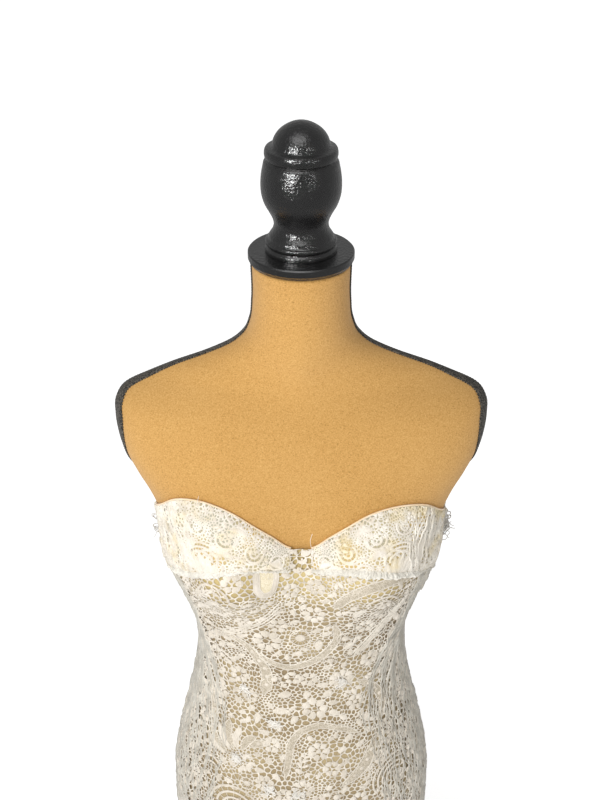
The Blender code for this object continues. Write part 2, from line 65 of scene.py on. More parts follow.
# above waist, half width, front, back, squareness
sections = (
    (-0.450, 0.1480, 0.098, 0.112, 2.2),
    (-0.400, 0.1510, 0.101, 0.116, 2.2),
    (-0.350, 0.1530, 0.104, 0.120, 2.2),
    (-0.310, 0.1540, 0.106, 0.123, 2.2),
    (-0.260, 0.1545, 0.108, 0.126, 2.2),
    (-0.210, 0.1552, 0.108, 0.126, 2.2),
    (-0.175, 0.1540, 0.107, 0.122, 2.2),
    (-0.122, 0.1450, 0.102, 0.111, 2.2),
    (-0.053, 0.1290, 0.092, 0.094, 2.2),
    (0.000, 0.1190, 0.085, 0.086, 2.2),
    (0.030, 0.1165, 0.084, 0.086, 2.2),
    (0.070, 0.1190, 0.087, 0.090, 2.2),
    (0.110, 0.1310, 0.091, 0.094, 2.2),
    (0.140, 0.1410, 0.093, 0.096, 2.3),
    (0.170, 0.1490, 0.094, 0.098, 2.5),
    (0.200, 0.1535, 0.094, 0.101, 2.6),
    (0.230, 0.1565, 0.092, 0.103, 2.6),
    (0.255, 0.1655, 0.089, 0.104, 2.7),
    (0.280, 0.1780, 0.084, 0.103, 2.8),
    (0.300, 0.1865, 0.079, 0.100, 2.8),
    (0.318, 0.1910, 0.074, 0.095, 2.7),
    (0.336, 0.1930, 0.068, 0.086, 2.5),
    (0.352, 0.1915, 0.061, 0.076, 2.2),
    (0.365, 0.1815, 0.054, 0.066, 1.8),
    (0.377, 0.1585, 0.049, 0.060, 1.5),
    (0.388, 0.1340, 0.047, 0.056, 1.4),
    (0.400, 0.1010, 0.047, 0.054, 1.4),
    (0.412, 0.0735, 0.048, 0.053, 1.6),
    (0.424, 0.0590, 0.048, 0.052, 1.8),
    (0.440, 0.0515, 0.048, 0.050, 2.0),
    (0.464, 0.0485, 0.048, 0.049, 2.0),
    (0.504, 0.0485, 0.0485, 0.0485, 2.0),
)
# turn round the figure, above waist
neckline = (
    (0.000, 0.2232), (0.012, 0.2236), (0.037, 0.2385), (0.059, 0.2510), (0.075, 0.2600), (0.092, 0.2667),
    (0.119, 0.2718), (0.146, 0.2688), (0.180, 0.2510), (0.200, 0.2405), (0.225, 0.2275), (0.250, 0.2205),
    (0.300, 0.2155), (0.400, 0.2130), (0.500, 0.2120),
)
underbust = (
    (0.000, 0.1990), (0.020, 0.2000), (0.043, 0.2045), (0.070, 0.2078), (0.090, 0.2057), (0.110, 0.2005),
    (0.130, 0.1935), (0.155, 0.1840), (0.180, 0.1725), (0.200, 0.1620), (0.225, 0.1500), (0.250, 0.1420),
)
layers = {  # lifts off the form
    "liningInner": 0.0022,
    "liningOuter": 0.0030,
    "laceBase": 0.0037,
    "cupEdge": 0.0052,
    "cupCrown": 0.0068,
    "goreTurn": 0.0118,
    "sideTurn": 0.2497,
    "backTurns": (0.2503, 0.7497),
    "wingTurn": 0.2052,
    "seam": 0.0006,
}
# The neckline has slipped on the left: how far, where it starts and ends in turns, and over how much
slip = {"drop": 0.0065, "start": 0.055, "rise": 0.09, "end": 0.36, "fall": 0.10}


def smoothTable(rows, at):
    rows = np.asarray(rows, float)
    at = np.clip(np.asarray(at, float), rows[0, 0], rows[-1, 0])
    knots, values = rows[:, 0], rows[:, 1:]
    steps = np.diff(knots)[:, None]
    slopes = np.diff(values, axis=0) / steps
    tangents = np.empty_like(values)
    tangents[1:-1] = (slopes[:-1] * steps[1:] + slopes[1:] * steps[:-1]) / (steps[1:] + steps[:-1])
    tangents[0], tangents[-1] = slopes[0], slopes[-1]
    k = np.clip(np.searchsorted(knots, at, side="right") - 1, 0, len(knots) - 2)
    width = np.diff(knots)[k][..., None]
    t = (at - knots[k])[..., None] / width
    return (
        (2 * t**3 - 3 * t**2 + 1) * values[k]
        + (t**3 - 2 * t**2 + t) * width * tangents[k]
        + (3 * t**2 - 2 * t**3) * values[k + 1]
        + (t**3 - t**2) * width * tangents[k + 1]
    )


def signedTurn(turn):
    return (np.asarray(turn, float) + 0.5) % 1.0 - 0.5


def fromFront(turn):
    return np.abs(signedTurn(turn))


def edgeHeight(table, turn):
    return smoothTable(table, fromFront(turn))[..., 0]


def neckHeight(turn):
    turn = signedTurn(turn)
    rise = np.clip((turn - slip["start"]) / slip["rise"], 0.0, 1.0)
    fall = np.clip((slip["end"] - turn) / slip["fall"], 0.0, 1.0)
    eased = rise**2 * (3.0 - 2.0 * rise) * fall**2 * (3.0 - 2.0 * fall)
    return edgeHeight(neckline, turn) - slip["drop"] * eased


def underCup(turn):
    return edgeHeight(underbust, turn) + layers["seam"]


def figureRing(z):
    halfWidth, front, back, squareness = smoothTable(sections, z)
    quarter = figure["samples"] // 4
    fine = np.linspace(0.0, math.pi / 2, figure["fineSteps"])
    across = halfWidth * np.sin(fine) ** (2 / squareness)
    deep = np.cos(fine) ** (2 / squareness)
    fall = figure["bustRise"] if z > figure["bustHeight"] else figure["bustFall"]
    swell = figure["bustDepth"] * math.exp(-(((z - figure["bustHeight"]) / fall) ** 2))
    sideways = (across - figure["bustApart"] / 2) / figure["bustSpread"]
    swell = swell * np.exp(-(sideways**2)) * np.sqrt(deep)
    sides = []
    for y in (-front * deep - swell, back * deep):
        run = np.concatenate([[0.0], np.cumsum(np.hypot(np.diff(across), np.diff(y)))])
        even = np.linspace(0.0, run[-1], quarter + 1)
        sides.append(np.stack([np.interp(even, run, across), np.interp(even, run, y)], axis=1))
    half = np.concatenate([sides[0], sides[1][::-1][1:]])
    flat = np.concatenate([half, half[1:-1][::-1] * (-1.0, 1.0)])
    return np.column_stack([flat, np.full(len(flat), z)])


figureHeights = np.arange(figure["hem"], figure["neckTop"] + figure["rowStep"], figure["rowStep"])
figurePoints = np.array([figureRing(z) for z in figureHeights])
aroundStep = np.roll(figurePoints, -1, axis=1) - np.roll(figurePoints, 1, axis=1)
figureNormals = np.cross(aroundStep, np.gradient(figurePoints, axis=0))
figureNormals /= np.linalg.norm(figureNormals, axis=2, keepdims=True)
ringLengths = np.linalg.norm(figurePoints - np.roll(figurePoints, 1, axis=1), axis=2).sum(axis=1)


def blendGrid(grid, turn, z):
    row = np.clip((z - figureHeights[0]) / figure["rowStep"], 0, len(figureHeights) - 1.001)
    column = (turn % 1.0) * figure["samples"]
    i, j = row.astype(int), column.astype(int) % figure["samples"]
    k = (j + 1) % figure["samples"]
    u, v = (row - i)[..., None], (column - column.astype(int))[..., None]
    low = grid[i, j] * (1 - v) + grid[i, k] * v
    high = grid[i + 1, j] * (1 - v) + grid[i + 1, k] * v
    return low * (1 - u) + high * u


def onFigure(turn, z, lift=0.0):
    turn, z, lift = np.broadcast_arrays(*(np.asarray(value, float) for value in (turn, z, lift)))
    normal = blendGrid(figureNormals, turn, z)
    normal = normal / np.linalg.norm(normal, axis=-1, keepdims=True)
    return blendGrid(figurePoints, turn, z) + lift[..., None] * normal + (0.0, 0.0, figure["waistHeight"])


def roundLength(z):
    return np.interp(z, figureHeights, ringLengths)


say("figure worked out")


# Meshes
def buildMesh(name, points, faceSets, material, smooth=True):
    points = np.asarray(points, np.float32).reshape(-1, 3)
    faceSets = [np.asarray(f, np.int32) for f in faceSets if len(f)]
    loops = np.concatenate([f.ravel() for f in faceSets])
    sizes = np.concatenate([np.full(len(f), f.shape[1]) for f in faceSets])
    mesh = bpy.data.meshes.new(name)
    mesh.vertices.add(len(points))
    mesh.vertices.foreach_set("co", points.ravel())
    mesh.loops.add(len(loops))
    mesh.loops.foreach_set("vertex_index", loops)
    mesh.polygons.add(len(sizes))
    mesh.polygons.foreach_set("loop_start", np.concatenate([[0], np.cumsum(sizes)[:-1]]).astype(np.int32))
    mesh.update(calc_edges=True)
    mesh.validate()
    mesh.materials.append(material)
    if smooth:
        mesh.shade_smooth()
    made = bpy.data.objects.new(name, mesh)
    bpy.context.scene.collection.objects.link(made)
    return made


def gridFaces(rows, columns, closed=False):
    r, c = np.meshgrid(np.arange(rows - 1), np.arange(columns if closed else columns - 1), indexing="ij")
    low = r * columns + c
    beside = r * columns + (c + 1) % columns
    return np.stack([low, beside, beside + columns, low + columns], axis=-1).reshape(-1, 4)


def tubeFaces(rows, sides):
    # The side of a tube and its two flat ends
    ends = np.arange(sides)[None]
    return [gridFaces(rows, sides, closed=True), ends[:, ::-1], (rows - 1) * sides + ends]


def shell(name, turns, heights, inner, outer, material):
    # A closed thin wall between two lifts off the figure
    turns, heights, inner, outer = np.broadcast_arrays(turns, heights, inner, outer)
    rows, columns = turns.shape
    count = rows * columns
    walls = [onFigure(turns, heights, lift).reshape(-1, 3) for lift in (outer, inner)]
    front = gridFaces(rows, columns)
    border = np.concatenate([
        np.arange(columns),
        np.arange(1, rows) * columns + columns - 1,
        (rows - 1) * columns + np.arange(columns - 2, -1, -1),
        np.arange(rows - 2, 0, -1) * columns,
    ])
    after = np.roll(border, -1)
    rim = np.stack([after, border, border + count, after + count], axis=1)
    return buildMesh(name, np.concatenate(walls), [front, front[:, ::-1] + count, rim], material)


def turned(name, profile, sides, bottom, material, bore=0.0):
    # A lathe: height and radius rows from the lowest face up, with flat ends or a bore right through
    rows = [tuple(row) for row in profile]
    count = len(rows)
    if bore:
        rows += [(rows[0][0], bore), (rows[-1][0], bore)]
    angle = np.arange(sides) / sides * math.tau
    x, y = np.cos(angle), np.sin(angle)
    points = [np.stack([r * x, r * y, np.full(sides, z + bottom)], axis=1) for z, r in rows]
    faces = tubeFaces(count, sides)
    if bore:
        k = np.arange(sides)
        m = (k + 1) % sides
        top, low, high = (count - 1) * sides, count * sides, (count + 1) * sides
        faces[1:] = [
            np.stack([k, low + k, low + m, m], axis=1),
            np.stack([top + k, top + m, high + m, high + k], axis=1),
            np.stack([low + k, high + k, high + m, low + m], axis=1),
        ]
    made = buildMesh(name, np.concatenate(points), faces, material)
    made.data.set_sharp_from_angle(angle=math.radians(stand["crispFrom"]))
    return made


def smoothProfile(rows, steps=3):
    # Extra rows on a smooth curve through a lathe's profile, by distance along it
    rows = np.asarray(rows, float)
    run = np.concatenate([[0.0], np.cumsum(np.linalg.norm(np.diff(rows, axis=0), axis=1))])
    fine = [np.linspace(a, b, steps, endpoint=False) for a, b in zip(run, run[1:])]
    return smoothTable(np.column_stack([run, rows]), np.concatenate([*fine, run[-1:]]))


# Materials
def linearColour(hexColour):
    values = [int(hexColour[i : i + 2], 16) / 255 for i in (1, 3, 5)]
    return (*(v / 12.92 if v <= 0.04045 else ((v + 0.055) / 1.055) ** 2.4 for v in values), 1.0)


def addNode(tree, kind, inputs=None, stops=(), **settings):
    # One node with its settings, its values or links, and its colour stops where it is a ramp
    node = tree.nodes.new("ShaderNode" + kind)
    for key, value in settings.items():
        setattr(node, key, value)
    for key, value in (inputs or {}).items():
        if isinstance(value, bpy.types.NodeSocket):
            tree.links.new(value, node.inputs[key])
        else:
            node.inputs[key].default_value = value
    while stops and len(node.color_ramp.elements) < len(stops):
        node.color_ramp.elements.new(0.5)
    for k, (place, hexColour) in enumerate(stops):
        node.color_ramp.elements[k].position = place
        node.color_ramp.elements[k].color = linearColour(hexColour)
    return node


def newMaterial(name, sockets):
    material = bpy.data.materials.new(name)
    material.use_nodes = True
    shader = material.node_tree.nodes["Principled BSDF"]
    for key, value in sockets.items():
        shader.inputs[key].default_value = value
    return material, material.node_tree, shader


def makeMaterial(
    name, shine, patterns, stops, share=0.0, toned=-1, raised=0, bump=(0.0003, 0.5), stain="", aged=()
):
    # Each pattern has its kind, its size in mm, its scale upwards and its other values. The last source is
    # the first pattern with a share of the second. One source gives the colour and one the relief
    material, tree, shader = newMaterial(name, shine)
    place = addNode(tree, "TexCoord").outputs["Object"]
    sources = []
    for kind, size, upright, values in patterns:
        drawn = addNode(tree, "Mapping", {"Vector": place, "Scale": (1.0, 1.0, upright)}).outputs["Vector"]
        sources.append(addNode(tree, kind, {"Vector": drawn, "Scale": 1000.0 / size, **values}).outputs[0])
    if share:
        both = addNode(tree, "Math", {0: sources[1], 1: share, 2: sources[0]}, operation="MULTIPLY_ADD")
        sources.append(both.outputs[0])
    colour = addNode(tree, "ValToRGB", {"Fac": sources[toned]}, stops).outputs["Color"]
    # Higher up the colour blends to a second ramp: on the lining, yellowed with age and painted lighter under
    # the cups, against the shade they cast
    if aged:
        yellowedLitStops, low, high = aged
        yellowedLitColour = addNode(tree, "ValToRGB", {"Fac": sources[toned]}, yellowedLitStops).outputs["Color"]
        height = addNode(tree, "SeparateXYZ", {"Vector": place}).outputs["Z"]
        underCupBlend = addNode(
            tree, "MapRange", {"Value": height, "From Min": low, "From Max": high}
        ).outputs["Result"]
        colour = addNode(tree, "Mix", {0: underCupBlend, 6: colour, 7: yellowedLitColour}, data_type="RGBA").outputs[2]
    if stain:
        # Aged patches, two fingers across
        values = {"Vector": place, "Scale": 1000.0 / 34.0, "Detail": 4.0, "Roughness": 0.65}
        patches = addNode(tree, "TexNoise", values).outputs[0]
        tint = addNode(
            tree, "ValToRGB", {"Fac": patches}, ((0.50, "#FFFFFF"), (0.70, stain))
        ).outputs["Color"]
        inputs = {0: 1.0, 6: colour, 7: tint}
        colour = addNode(tree, "Mix", inputs, data_type="RGBA", blend_type="MULTIPLY").outputs[2]
    tree.links.new(colour, shader.inputs["Base Color"])
    depth, strength = bump
    inputs = {"Height": sources[raised], "Distance": depth, "Strength": strength}
    normal = addNode(tree, "Bump", inputs).outputs["Normal"]
    tree.links.new(normal, shader.inputs["Normal"])
    if "Coat Weight" in shine:
        tree.links.new(normal, shader.inputs["Coat Normal"])
    return material


def mercerisedCotton(name, light, dark, yarn=0.9, stain=""):
    # Mercerised cotton lace yarn, twisted: fine ridges across each cord and a faint lustre.
    # A real twist is about 0.3 mm and would be lost, so it is drawn coarser
    shine = {"Roughness": 0.72, "IOR": 1.53, "Sheen Weight": 0.25, "Sheen Roughness": 0.45}
    cloud = ("TexNoise", 14.0, 1.0, {"Detail": 3.0})
    twist = ("TexNoise", yarn, 1.0, {"Detail": 2.0, "Roughness": 0.6})
    stops = ((0.45, dark), (0.95, light))
    return makeMaterial(name, shine, (cloud, twist), stops, 0.5, raised=1, bump=(0.00025, 0.6), stain=stain)


def toileWork(name, dark, middle, light, stain=""):
    # Dense cotton clothwork of the motifs: close upright threads that look almost like plain cloth.
    # Real threads lie about 0.4 mm apart, drawn here at 1.1 mm
    shine = {"Roughness": 0.8, "IOR": 1.53, "Sheen Weight": 0.2, "Sheen Roughness": 0.5}
    cloud = ("TexNoise", 22.0, 1.0, {"Detail": 2.0})
    thread = ("TexNoise", 1.1, 0.35, {"Detail": 2.0})
    stops = ((0.5, dark), (0.8, middle), (1.0, light))
    return makeMaterial(name, shine, (cloud, thread), stops, 0.7, raised=1, bump=(0.0003, 0.7), stain=stain)


def sheerGround(name, light, middle, dark):
    # Half-stitch ground of the long bands, worked thin: the nude lining behind it dulls it.
    # Its holes are under 1 mm, drawn here at 1.5 mm
    shine = {"Roughness": 0.85, "IOR": 1.5, "Sheen Weight": 0.15}
    patterns = (("TexVoronoi", 1.5, 1.0, {"Randomness": 0.7}), ("TexNoise", 18.0, 1.0, {}))
    return makeMaterial(name, shine, patterns, ((0.3, light), (0.65, middle), (0.9, dark)), 0.5)


def nudeTricot():
    # Warp-knitted polyester tricot: fine upright ribs in a soft even nude, painted darker than its own nude
    # for the shade inside the lace's holes.
    # Under the cups it is yellowed with age and also painted lighter there, against the shade the cups cast.
    # Real ribs are about 0.4 mm apart, drawn at 0.8 mm
    shine = {"Roughness": 0.75, "IOR": 1.54, "Sheen Weight": 0.2}
    patterns = (("TexNoise", 60.0, 1.0, {"Detail": 2.0}), ("TexNoise", 0.8, 0.2, {"Detail": 1.0}))
    stops = ((0.4, "#897555"), (0.7, "#A08C67"), (0.95, "#BBA880"))
    # Yellowed, and painted lighter, between these heights just under the cups, against the shade the cups
    # cast
    aged = (((0.4, "#B8A168"), (0.95, "#D4C08A")), 0.815, 0.868)
    return makeMaterial("nude_tricot", shine, patterns, stops, 0.4, raised=1, bump=(0.0002, 0.5), aged=aged)


def cupCover():
    # Ivory cotton over moulded foam: yellowed by age in soft patches, and painted a darker grey-green for the
    # shade seen through the lace's small holes. Its weave is drawn coarser than real
    shine = {"Roughness": 0.8, "IOR": 1.5, "Sheen Weight": 0.2}
    patterns = (
        ("TexNoise", 38.0, 1.0, {"Detail": 1.0, "Roughness": 0.5}), ("TexNoise", 1.2, 1.0, {"Detail": 2.0})
    )
    stops = ((0.50, "#B5B09C"), (0.66, "#C2B38C"), (0.80, "#CFB273"))
    return makeMaterial("aged_cup_cover_painted_shade", shine, patterns, stops, 0.3, raised=1)


def brushedJersey():
    # Brushed cotton jersey stretched over foam: a mottled tan with a fine dark and light fleck.
    # A real stitch is about 0.6 mm, drawn as a fleck of 1.5 mm
    shine = {"Roughness": 0.92, "IOR": 1.45, "Sheen Weight": 0.12, "Sheen Roughness": 0.6}
    patterns = (
        ("TexNoise", 1.5, 1.0, {"Detail": 3.0, "Roughness": 0.85}), ("TexNoise", 90.0, 1.0, {"Detail": 1.0})
    )
    stops = ((0.33, "#7E5A27"), (0.44, "#B88A47"), (0.56, "#C49653"), (0.80, "#D6AC6C"))
    return makeMaterial("brushed_tan_jersey", shine, patterns, stops, 0.1, bump=(0.0004, 0.5))


def herringboneBraid():
    # Black woven cotton braid: matt black yarn with light grey flecks painted into its colour, a painted
    # highlight for the light its ridges catch.
    # Its yarns are finer than 1 mm, drawn coarser so that they show
    shine = {"Roughness": 0.85, "IOR": 1.5, "Sheen Weight": 0.15, "Sheen Roughness": 0.4}
    patterns = (("TexNoise", 1.3, 1.0, {"Detail": 2.0}),)
    stops = ((0.40, "#0C0C0C"), (0.68, "#6A645A"))
    return makeMaterial("black_braid_yarn", shine, patterns, stops, bump=(0.0003, 0.8))


def paintedWood():
    # Turned hardwood under brushed black enamel: a full gloss broken up by a close orange peel.
    # A real peel is finer than 2 mm, drawn coarser so that it shows
    shine = {"Roughness": 0.22, "IOR": 1.55, "Coat Weight": 1.0, "Coat Roughness": 0.12}
    peel = ("TexNoise", 2.4, 1.0, {"Detail": 2.0, "Roughness": 0.6})
    wear = ("TexNoise", 16.0, 1.0, {"Detail": 4.0, "Roughness": 0.7})
    stops = ((0.35, "#080808"), (0.65, "#121212"), (0.8, "#1E1E1D"))
    return makeMaterial(
        "black_enamel_wood", shine, (peel, wear), stops, 0.3, toned=1, raised=2, bump=(0.0006, 1.0)
    )


def powderCoat():
    # Powder-coated steel tube: even black with a fine pebble, drawn coarser than real
    patterns = (("TexNoise", 0.8, 1.0, {"Detail": 1.0}),)
    stops = ((0.3, "#141415"), (0.8, "#1E1E1F"))
    return makeMaterial(
        "black_powder_coat", {"Roughness": 0.5, "IOR": 1.5}, patterns, stops, bump=(0.0001, 0.5)
    )


def nudeBinding():
    # Peach elastane satin turned over the cup's top: smooth with a soft sheen
    shine = {"Roughness": 0.55, "IOR": 1.5, "Sheen Weight": 0.3}
    patterns = (("TexNoise", 9.0, 1.0, {"Detail": 2.0}),)
    stops = ((0.3, "#F8DDB4"), (0.7, "#FDEBD0"))
    return makeMaterial("peach_satin_binding", shine, patterns, stops, bump=(0.0003, 0.4))


mats = {
    "yarn": mercerisedCotton("mercerised_lace_yarn", "#EDE5D7", "#C4B9A8"),
    "cord": mercerisedCotton("gimp_cord", "#EEE6D8", "#CFC5B5", 0.7),
    # The yarn of the cups and wings is a lighter copy of the dress's: painted light for the brighter bust,
    # with real yellowed stains
    "cupYarn": mercerisedCotton("cup_lace_yarn_painted_lighter", "#F4EEE2", "#D3CABA", stain="#F8ECC8"),
    # The gathered strands at the sides take a greyer, darker copy of the lace yarn: painted shade for the
    # light falling off towards the side seams
    "gathers": mercerisedCotton("crinkled_lace_yarn_painted_shade", "#DCD7CB", "#B1AB9E"),
    "trim": mercerisedCotton("folded_white_lace", "#EAE6DC", "#C9C3B5", 1.8),
    "fluff": mercerisedCotton("loose_white_yarn", "#FBF7F0", "#E3DED4", 0.6),
    "frayed": mercerisedCotton("frayed_lace_ends", "#E2DED6", "#BBB6AC"),
    "toile": toileWork("cotton_clothwork", "#C3B8A7", "#D6CCBC", "#E4DBCD"),
    # A lighter copy of the dress's clothwork as well: painted light for the brighter bust, with real yellowed
    # stains
    "cupToile": toileWork("cup_clothwork_painted_lighter", "#D5CBBB", "#E4DBCD", "#F0E9DD", "#FBF4DC"),
    "sheer": sheerGround("half_stitch_ground", "#D8CEBE", "#C6BBA8", "#AFA38E"),
    "agedSheer": sheerGround("aged_half_stitch_ground", "#F2EAD8", "#EBE0C6", "#DDD0AE"),
    "lining": nudeTricot(),
    "cup": cupCover(),
    "jersey": brushedJersey(),
    "braid": herringboneBraid(),
    "wood": paintedWood(),
    "steel": powderCoat(),
    "binding": nudeBinding(),
}
say("materials made")


def carry(piece, slot, *nodes):
    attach(piece, "root")
    if nodes:
        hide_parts(*nodes)
    return piece


# Dress form and its stand
form = {"columns": 140, "coveredRows": 30, "openRows": 120, "coveredTo": 0.18}


def makeForm():
    z = np.concatenate([
        np.linspace(figure["formBottom"], form["coveredTo"], form["coveredRows"], endpoint=False),
        np.linspace(form["coveredTo"], figure["neckTop"], form["openRows"]),
    ])
    turn = np.arange(form["columns"]) / form["columns"]
    points = onFigure(turn[None, :], z[:, None]).reshape(-1, 3)
    made = buildMesh("formJersey", points, tubeFaces(len(z), len(turn)), mats["jersey"])
    carry(made, "jersey", "form_torso")


# Rows of the turned pieces: height and radius from their lowest face, as in the part's source
stand = {
    "collar": (
        (0.0000, 0.0470), (0.0012, 0.0500), (0.0035, 0.0512), (0.0050, 0.0523), (0.0108, 0.0523),
        (0.0120, 0.0512),
    ),
    "finial": (
        (0.0000, 0.0353), (0.0040, 0.0353), (0.0063, 0.0338), (0.0085, 0.0348), (0.0115, 0.0344),
        (0.0125, 0.0326),
        (0.0160, 0.0312), (0.0200, 0.0285), (0.0250, 0.0268), (0.0285, 0.0266), (0.0330, 0.0276),
        (0.0400, 0.0308),
        (0.0480, 0.0352), (0.0570, 0.0380), (0.0660, 0.0388), (0.0760, 0.0382), (0.0850, 0.0366),
        (0.0905, 0.0350),
        (0.0920, 0.0332), (0.0936, 0.0342), (0.0980, 0.0350), (0.1025, 0.0338), (0.1042, 0.0284),
        (0.1064, 0.0276),
        (0.1120, 0.0257), (0.1180, 0.0217), (0.1230, 0.0155), (0.1267, 0.0076), (0.1280, 0.0004),
    ),
    "foot": (
        (0.0000, 0.1880), (0.0010, 0.1893), (0.0030, 0.1900), (0.0120, 0.1900), (0.0145, 0.1885),
        (0.0160, 0.1860),
        (0.0200, 0.1500), (0.0230, 0.0600), (0.0240, 0.0300),
    ),
    "socket": (
        (0.0000, 0.0290), (0.0010, 0.0298), (0.0030, 0.0300), (0.0360, 0.0220), (0.0390, 0.0212),
        (0.0400, 0.0200),
    ),
    "flange": ((0.0000, 0.0190), (0.0240, 0.0220), (0.0260, 0.0480), (0.0320, 0.0500)),
    "bore": 0.0163,
    "poleRadius": 0.016,
    "seam": 0.0003,
    "sides": 80,
    "crispFrom": 32.0,  # degrees between two faces from which their edge is crisp
}


def makeStand():
    seam, radius = stand["seam"], stand["poleRadius"]
    neckTop = figure["waistHeight"] + figure["neckTop"] + seam
    finialBottom = neckTop + stand["collar"][-1][0] + seam
    footTop = stand["foot"][-1][0] + seam
    flangeBottom = figure["waistHeight"] + figure["formBottom"] - seam - stand["flange"][-1][0]
    pole = ((footTop, radius), (flangeBottom - seam, radius))
    for name, profile, bottom, bore, finish, slot, node in (
        ("neckDisc", stand["collar"], neckTop, 0.0, "wood", "black_wood", "neck_collar"),
        ("turnedFinial", smoothProfile(stand["finial"]), finialBottom, 0.0, "wood", "black_wood", "finial"),
        ("roundFoot", stand["foot"], 0.0, 0.0, "wood", "black_wood", "foot"),
        ("poleSocket", stand["socket"], footTop, stand["bore"], "wood", "black_wood", "pole_socket"),
        ("formFlange", stand["flange"], flangeBottom, 0.0, "wood", "black_wood", "form_flange"),
        ("standPole", pole, 0.0, 0.0, "steel", "steel", "pole"),
    ):
        carry(turned(name, profile, stand["sides"], bottom, mats[finish], bore), slot, node)


tape = {
    # up from the waist, half width, how far it swings forward of the side
    "run": (
        (0.2332, 0.0060, 0.000), (0.262, 0.0065, 0.004), (0.280, 0.0085, 0.014), (0.300, 0.0110, 0.023),
        (0.320, 0.0115, 0.024), (0.340, 0.0115, 0.019), (0.352, 0.0105, 0.012), (0.364, 0.0085, 0.004),
        (0.380, 0.0072, 0.000), (0.5035, 0.0070, 0.000),
    ),
    "lift": 0.0003,
    "wall": 0.0013,
    "rib": 0.0005,
    "ribLength": 0.0030,
    "toothDepth": 0.0011,
    "step": 0.00075,
    "columns": 13,
}


def makeTape(name, side, node):
    z = np.linspace(tape["run"][0][0], figure["neckTop"] - 0.0002, 4000)
    path = onFigure(np.full(len(z), side * 0.25), z)
    run = np.concatenate([[0.0], np.cumsum(np.linalg.norm(np.diff(path, axis=0), axis=1))])
    along = np.arange(0.0, run[-1], tape["step"])
    z = np.interp(along, run, z)[:, None]
    width, forward = np.moveaxis(smoothTable(tape["run"], z[:, 0]), -1, 0)[..., None]
    across = np.linspace(-1.0, 1.0, tape["columns"])[None, :]
    tooth = np.where((along / tape["ribLength"]) % 1.0 < 0.5, tape["toothDepth"], 0.0)[:, None]
    half = width - tooth * (np.abs(across) > 0.9)
    turns = side * (0.25 - forward / roundLength(z)) + across * half / roundLength(z)
    phase = along[:, None] / tape["ribLength"] - np.abs(across) * 1.6
    rib = tape["rib"] * (0.5 + 0.5 * np.sin(math.tau * phase))
    spine = 0.0003 * np.exp(-((across / 0.12) ** 2))
    edge = np.clip((1.0 - np.abs(across)) / 0.12, 0.0, 1.0)
    outer = tape["lift"] + (tape["wall"] * 0.7 + rib - spine) * (0.35 + 0.65 * edge)
    carry(shell(name, turns, z, tape["lift"] * 0.5, outer, mats["braid"]), "braid", node)


makeForm()
makeStand()
makeTape("braidLeft", 1, "tape_left")
makeTape("braidRight", -1, "tape_right")
say("form, stand and braid made")


# How the cloth lies: soft creases, in millimetres round and up from the waist, and ripples at the sides
drape = {
    "roundScale": 700.0,
    # from round, from up, to round, to up, width, height
    "creases": (
        (-128, 18, -60, 34, 7.0, 1.3), (-132, 8, -52, 2, 6.0, 1.1), (-130, 0, -66, -38, 7.0, 1.2),
        (-134, -10, -88, -66, 6.5, 1.1), (-140, -20, -112, -84, 6.0, 1.0), (-128, 30, -86, 78, 7.0, 1.0),
        (-140, 34, -112, 92, 6.0, 0.9), (124, 30, 92, 74, 7.0, 0.9), (132, 10, 96, -44, 7.5, 0.9),
        (138, -6, 120, -80, 6.5, 0.9), (128, 48, 110, 110, 6.0, 0.8), (-60, 62, 10, 70, 8.0, 0.6),
        (20, -150, 96, -118, 10.0, 0.7), (-110, -130, -40, -160, 10.0, 0.7), (60, -60, 118, -30, 8.0, 0.6),
        (-225, 20, -290, 40, 8.0, 1.2), (-230, -4, -300, -26, 8.0, 1.1), (225, 14, 288, 30, 8.0, 1.1),
        (232, -10, 296, -44, 8.0, 1.0), (320, 4, 262, 8, 9.0, 0.9),
    ),
    "rippleLength": 0.0105,
    "rippleHeight": 0.0010,
    "hemWave": 0.0016,
}


def folds(turn, z):
    # Lift of every layer of the cloth at a turn and height
    turn = signedTurn(turn)
    z = np.asarray(z, float)
    u, v = turn * drape["roundScale"], z * 1000.0
    lift = np.zeros(np.broadcast(turn, z).shape)
    for u0, v0, u1, v1, width, height in drape["creases"]:
        for wrap in (-drape["roundScale"], 0.0, drape["roundScale"]):
            du, dv = u1 - u0, v1 - v0
            length = math.hypot(du, dv)
            along = ((u + wrap - u0) * du + (v - v0) * dv) / length**2
            off = ((u + wrap - u0) * dv - (v - v0) * du) / length
            bow = off - 4.0 * np.sin(np.clip(along, 0, 1) * math.pi)
            fade = np.exp(-((np.clip(np.abs(along - 0.35) - 0.25, 0, None) / 0.22) ** 2))
            lift += height * 1e-3 * fade * np.exp(-((bow / width) ** 2))
    hem = np.clip((-0.30 - z) / 0.15, 0.0, 1.0)
    wave = 1.6 + np.sin(math.tau * turn * 7.0 + 0.6) + 0.6 * np.sin(math.tau * turn * 11.0 + 2.0)
    return lift + drape["hemWave"] * hem * wave


def ripples(turn, z):
    # Fine crinkles of the gathered lace near the side seams, clear of the lining
    turn = signedTurn(turn)
    side = np.clip((np.abs(turn) - 0.11) / 0.07, 0.0, 1.0) * np.clip((0.40 - np.abs(turn)) / 0.07, 0.0, 1.0)
    tall = np.clip((z + 0.30) / 0.08, 0.0, 1.0)
    slant = np.abs(turn) * roundLength(z) - 0.22 * (z - 0.07) + 0.004 * np.sin(z * 38.0 + turn * 20.0)
    wave = np.sin(math.tau * slant / drape["rippleLength"] + 1.2 * np.sin(z * 61.0 + turn * 15.0))
    fine = np.sin(math.tau * slant / 0.0053 + z * 75.0)
    lift = drape["rippleHeight"] * (1.0 + wave * (0.7 + 0.3 * np.sin(z * 70.0 + turn * 30.0)) + 0.45 * fine)
    return side * tall * np.maximum(lift, 0.0)


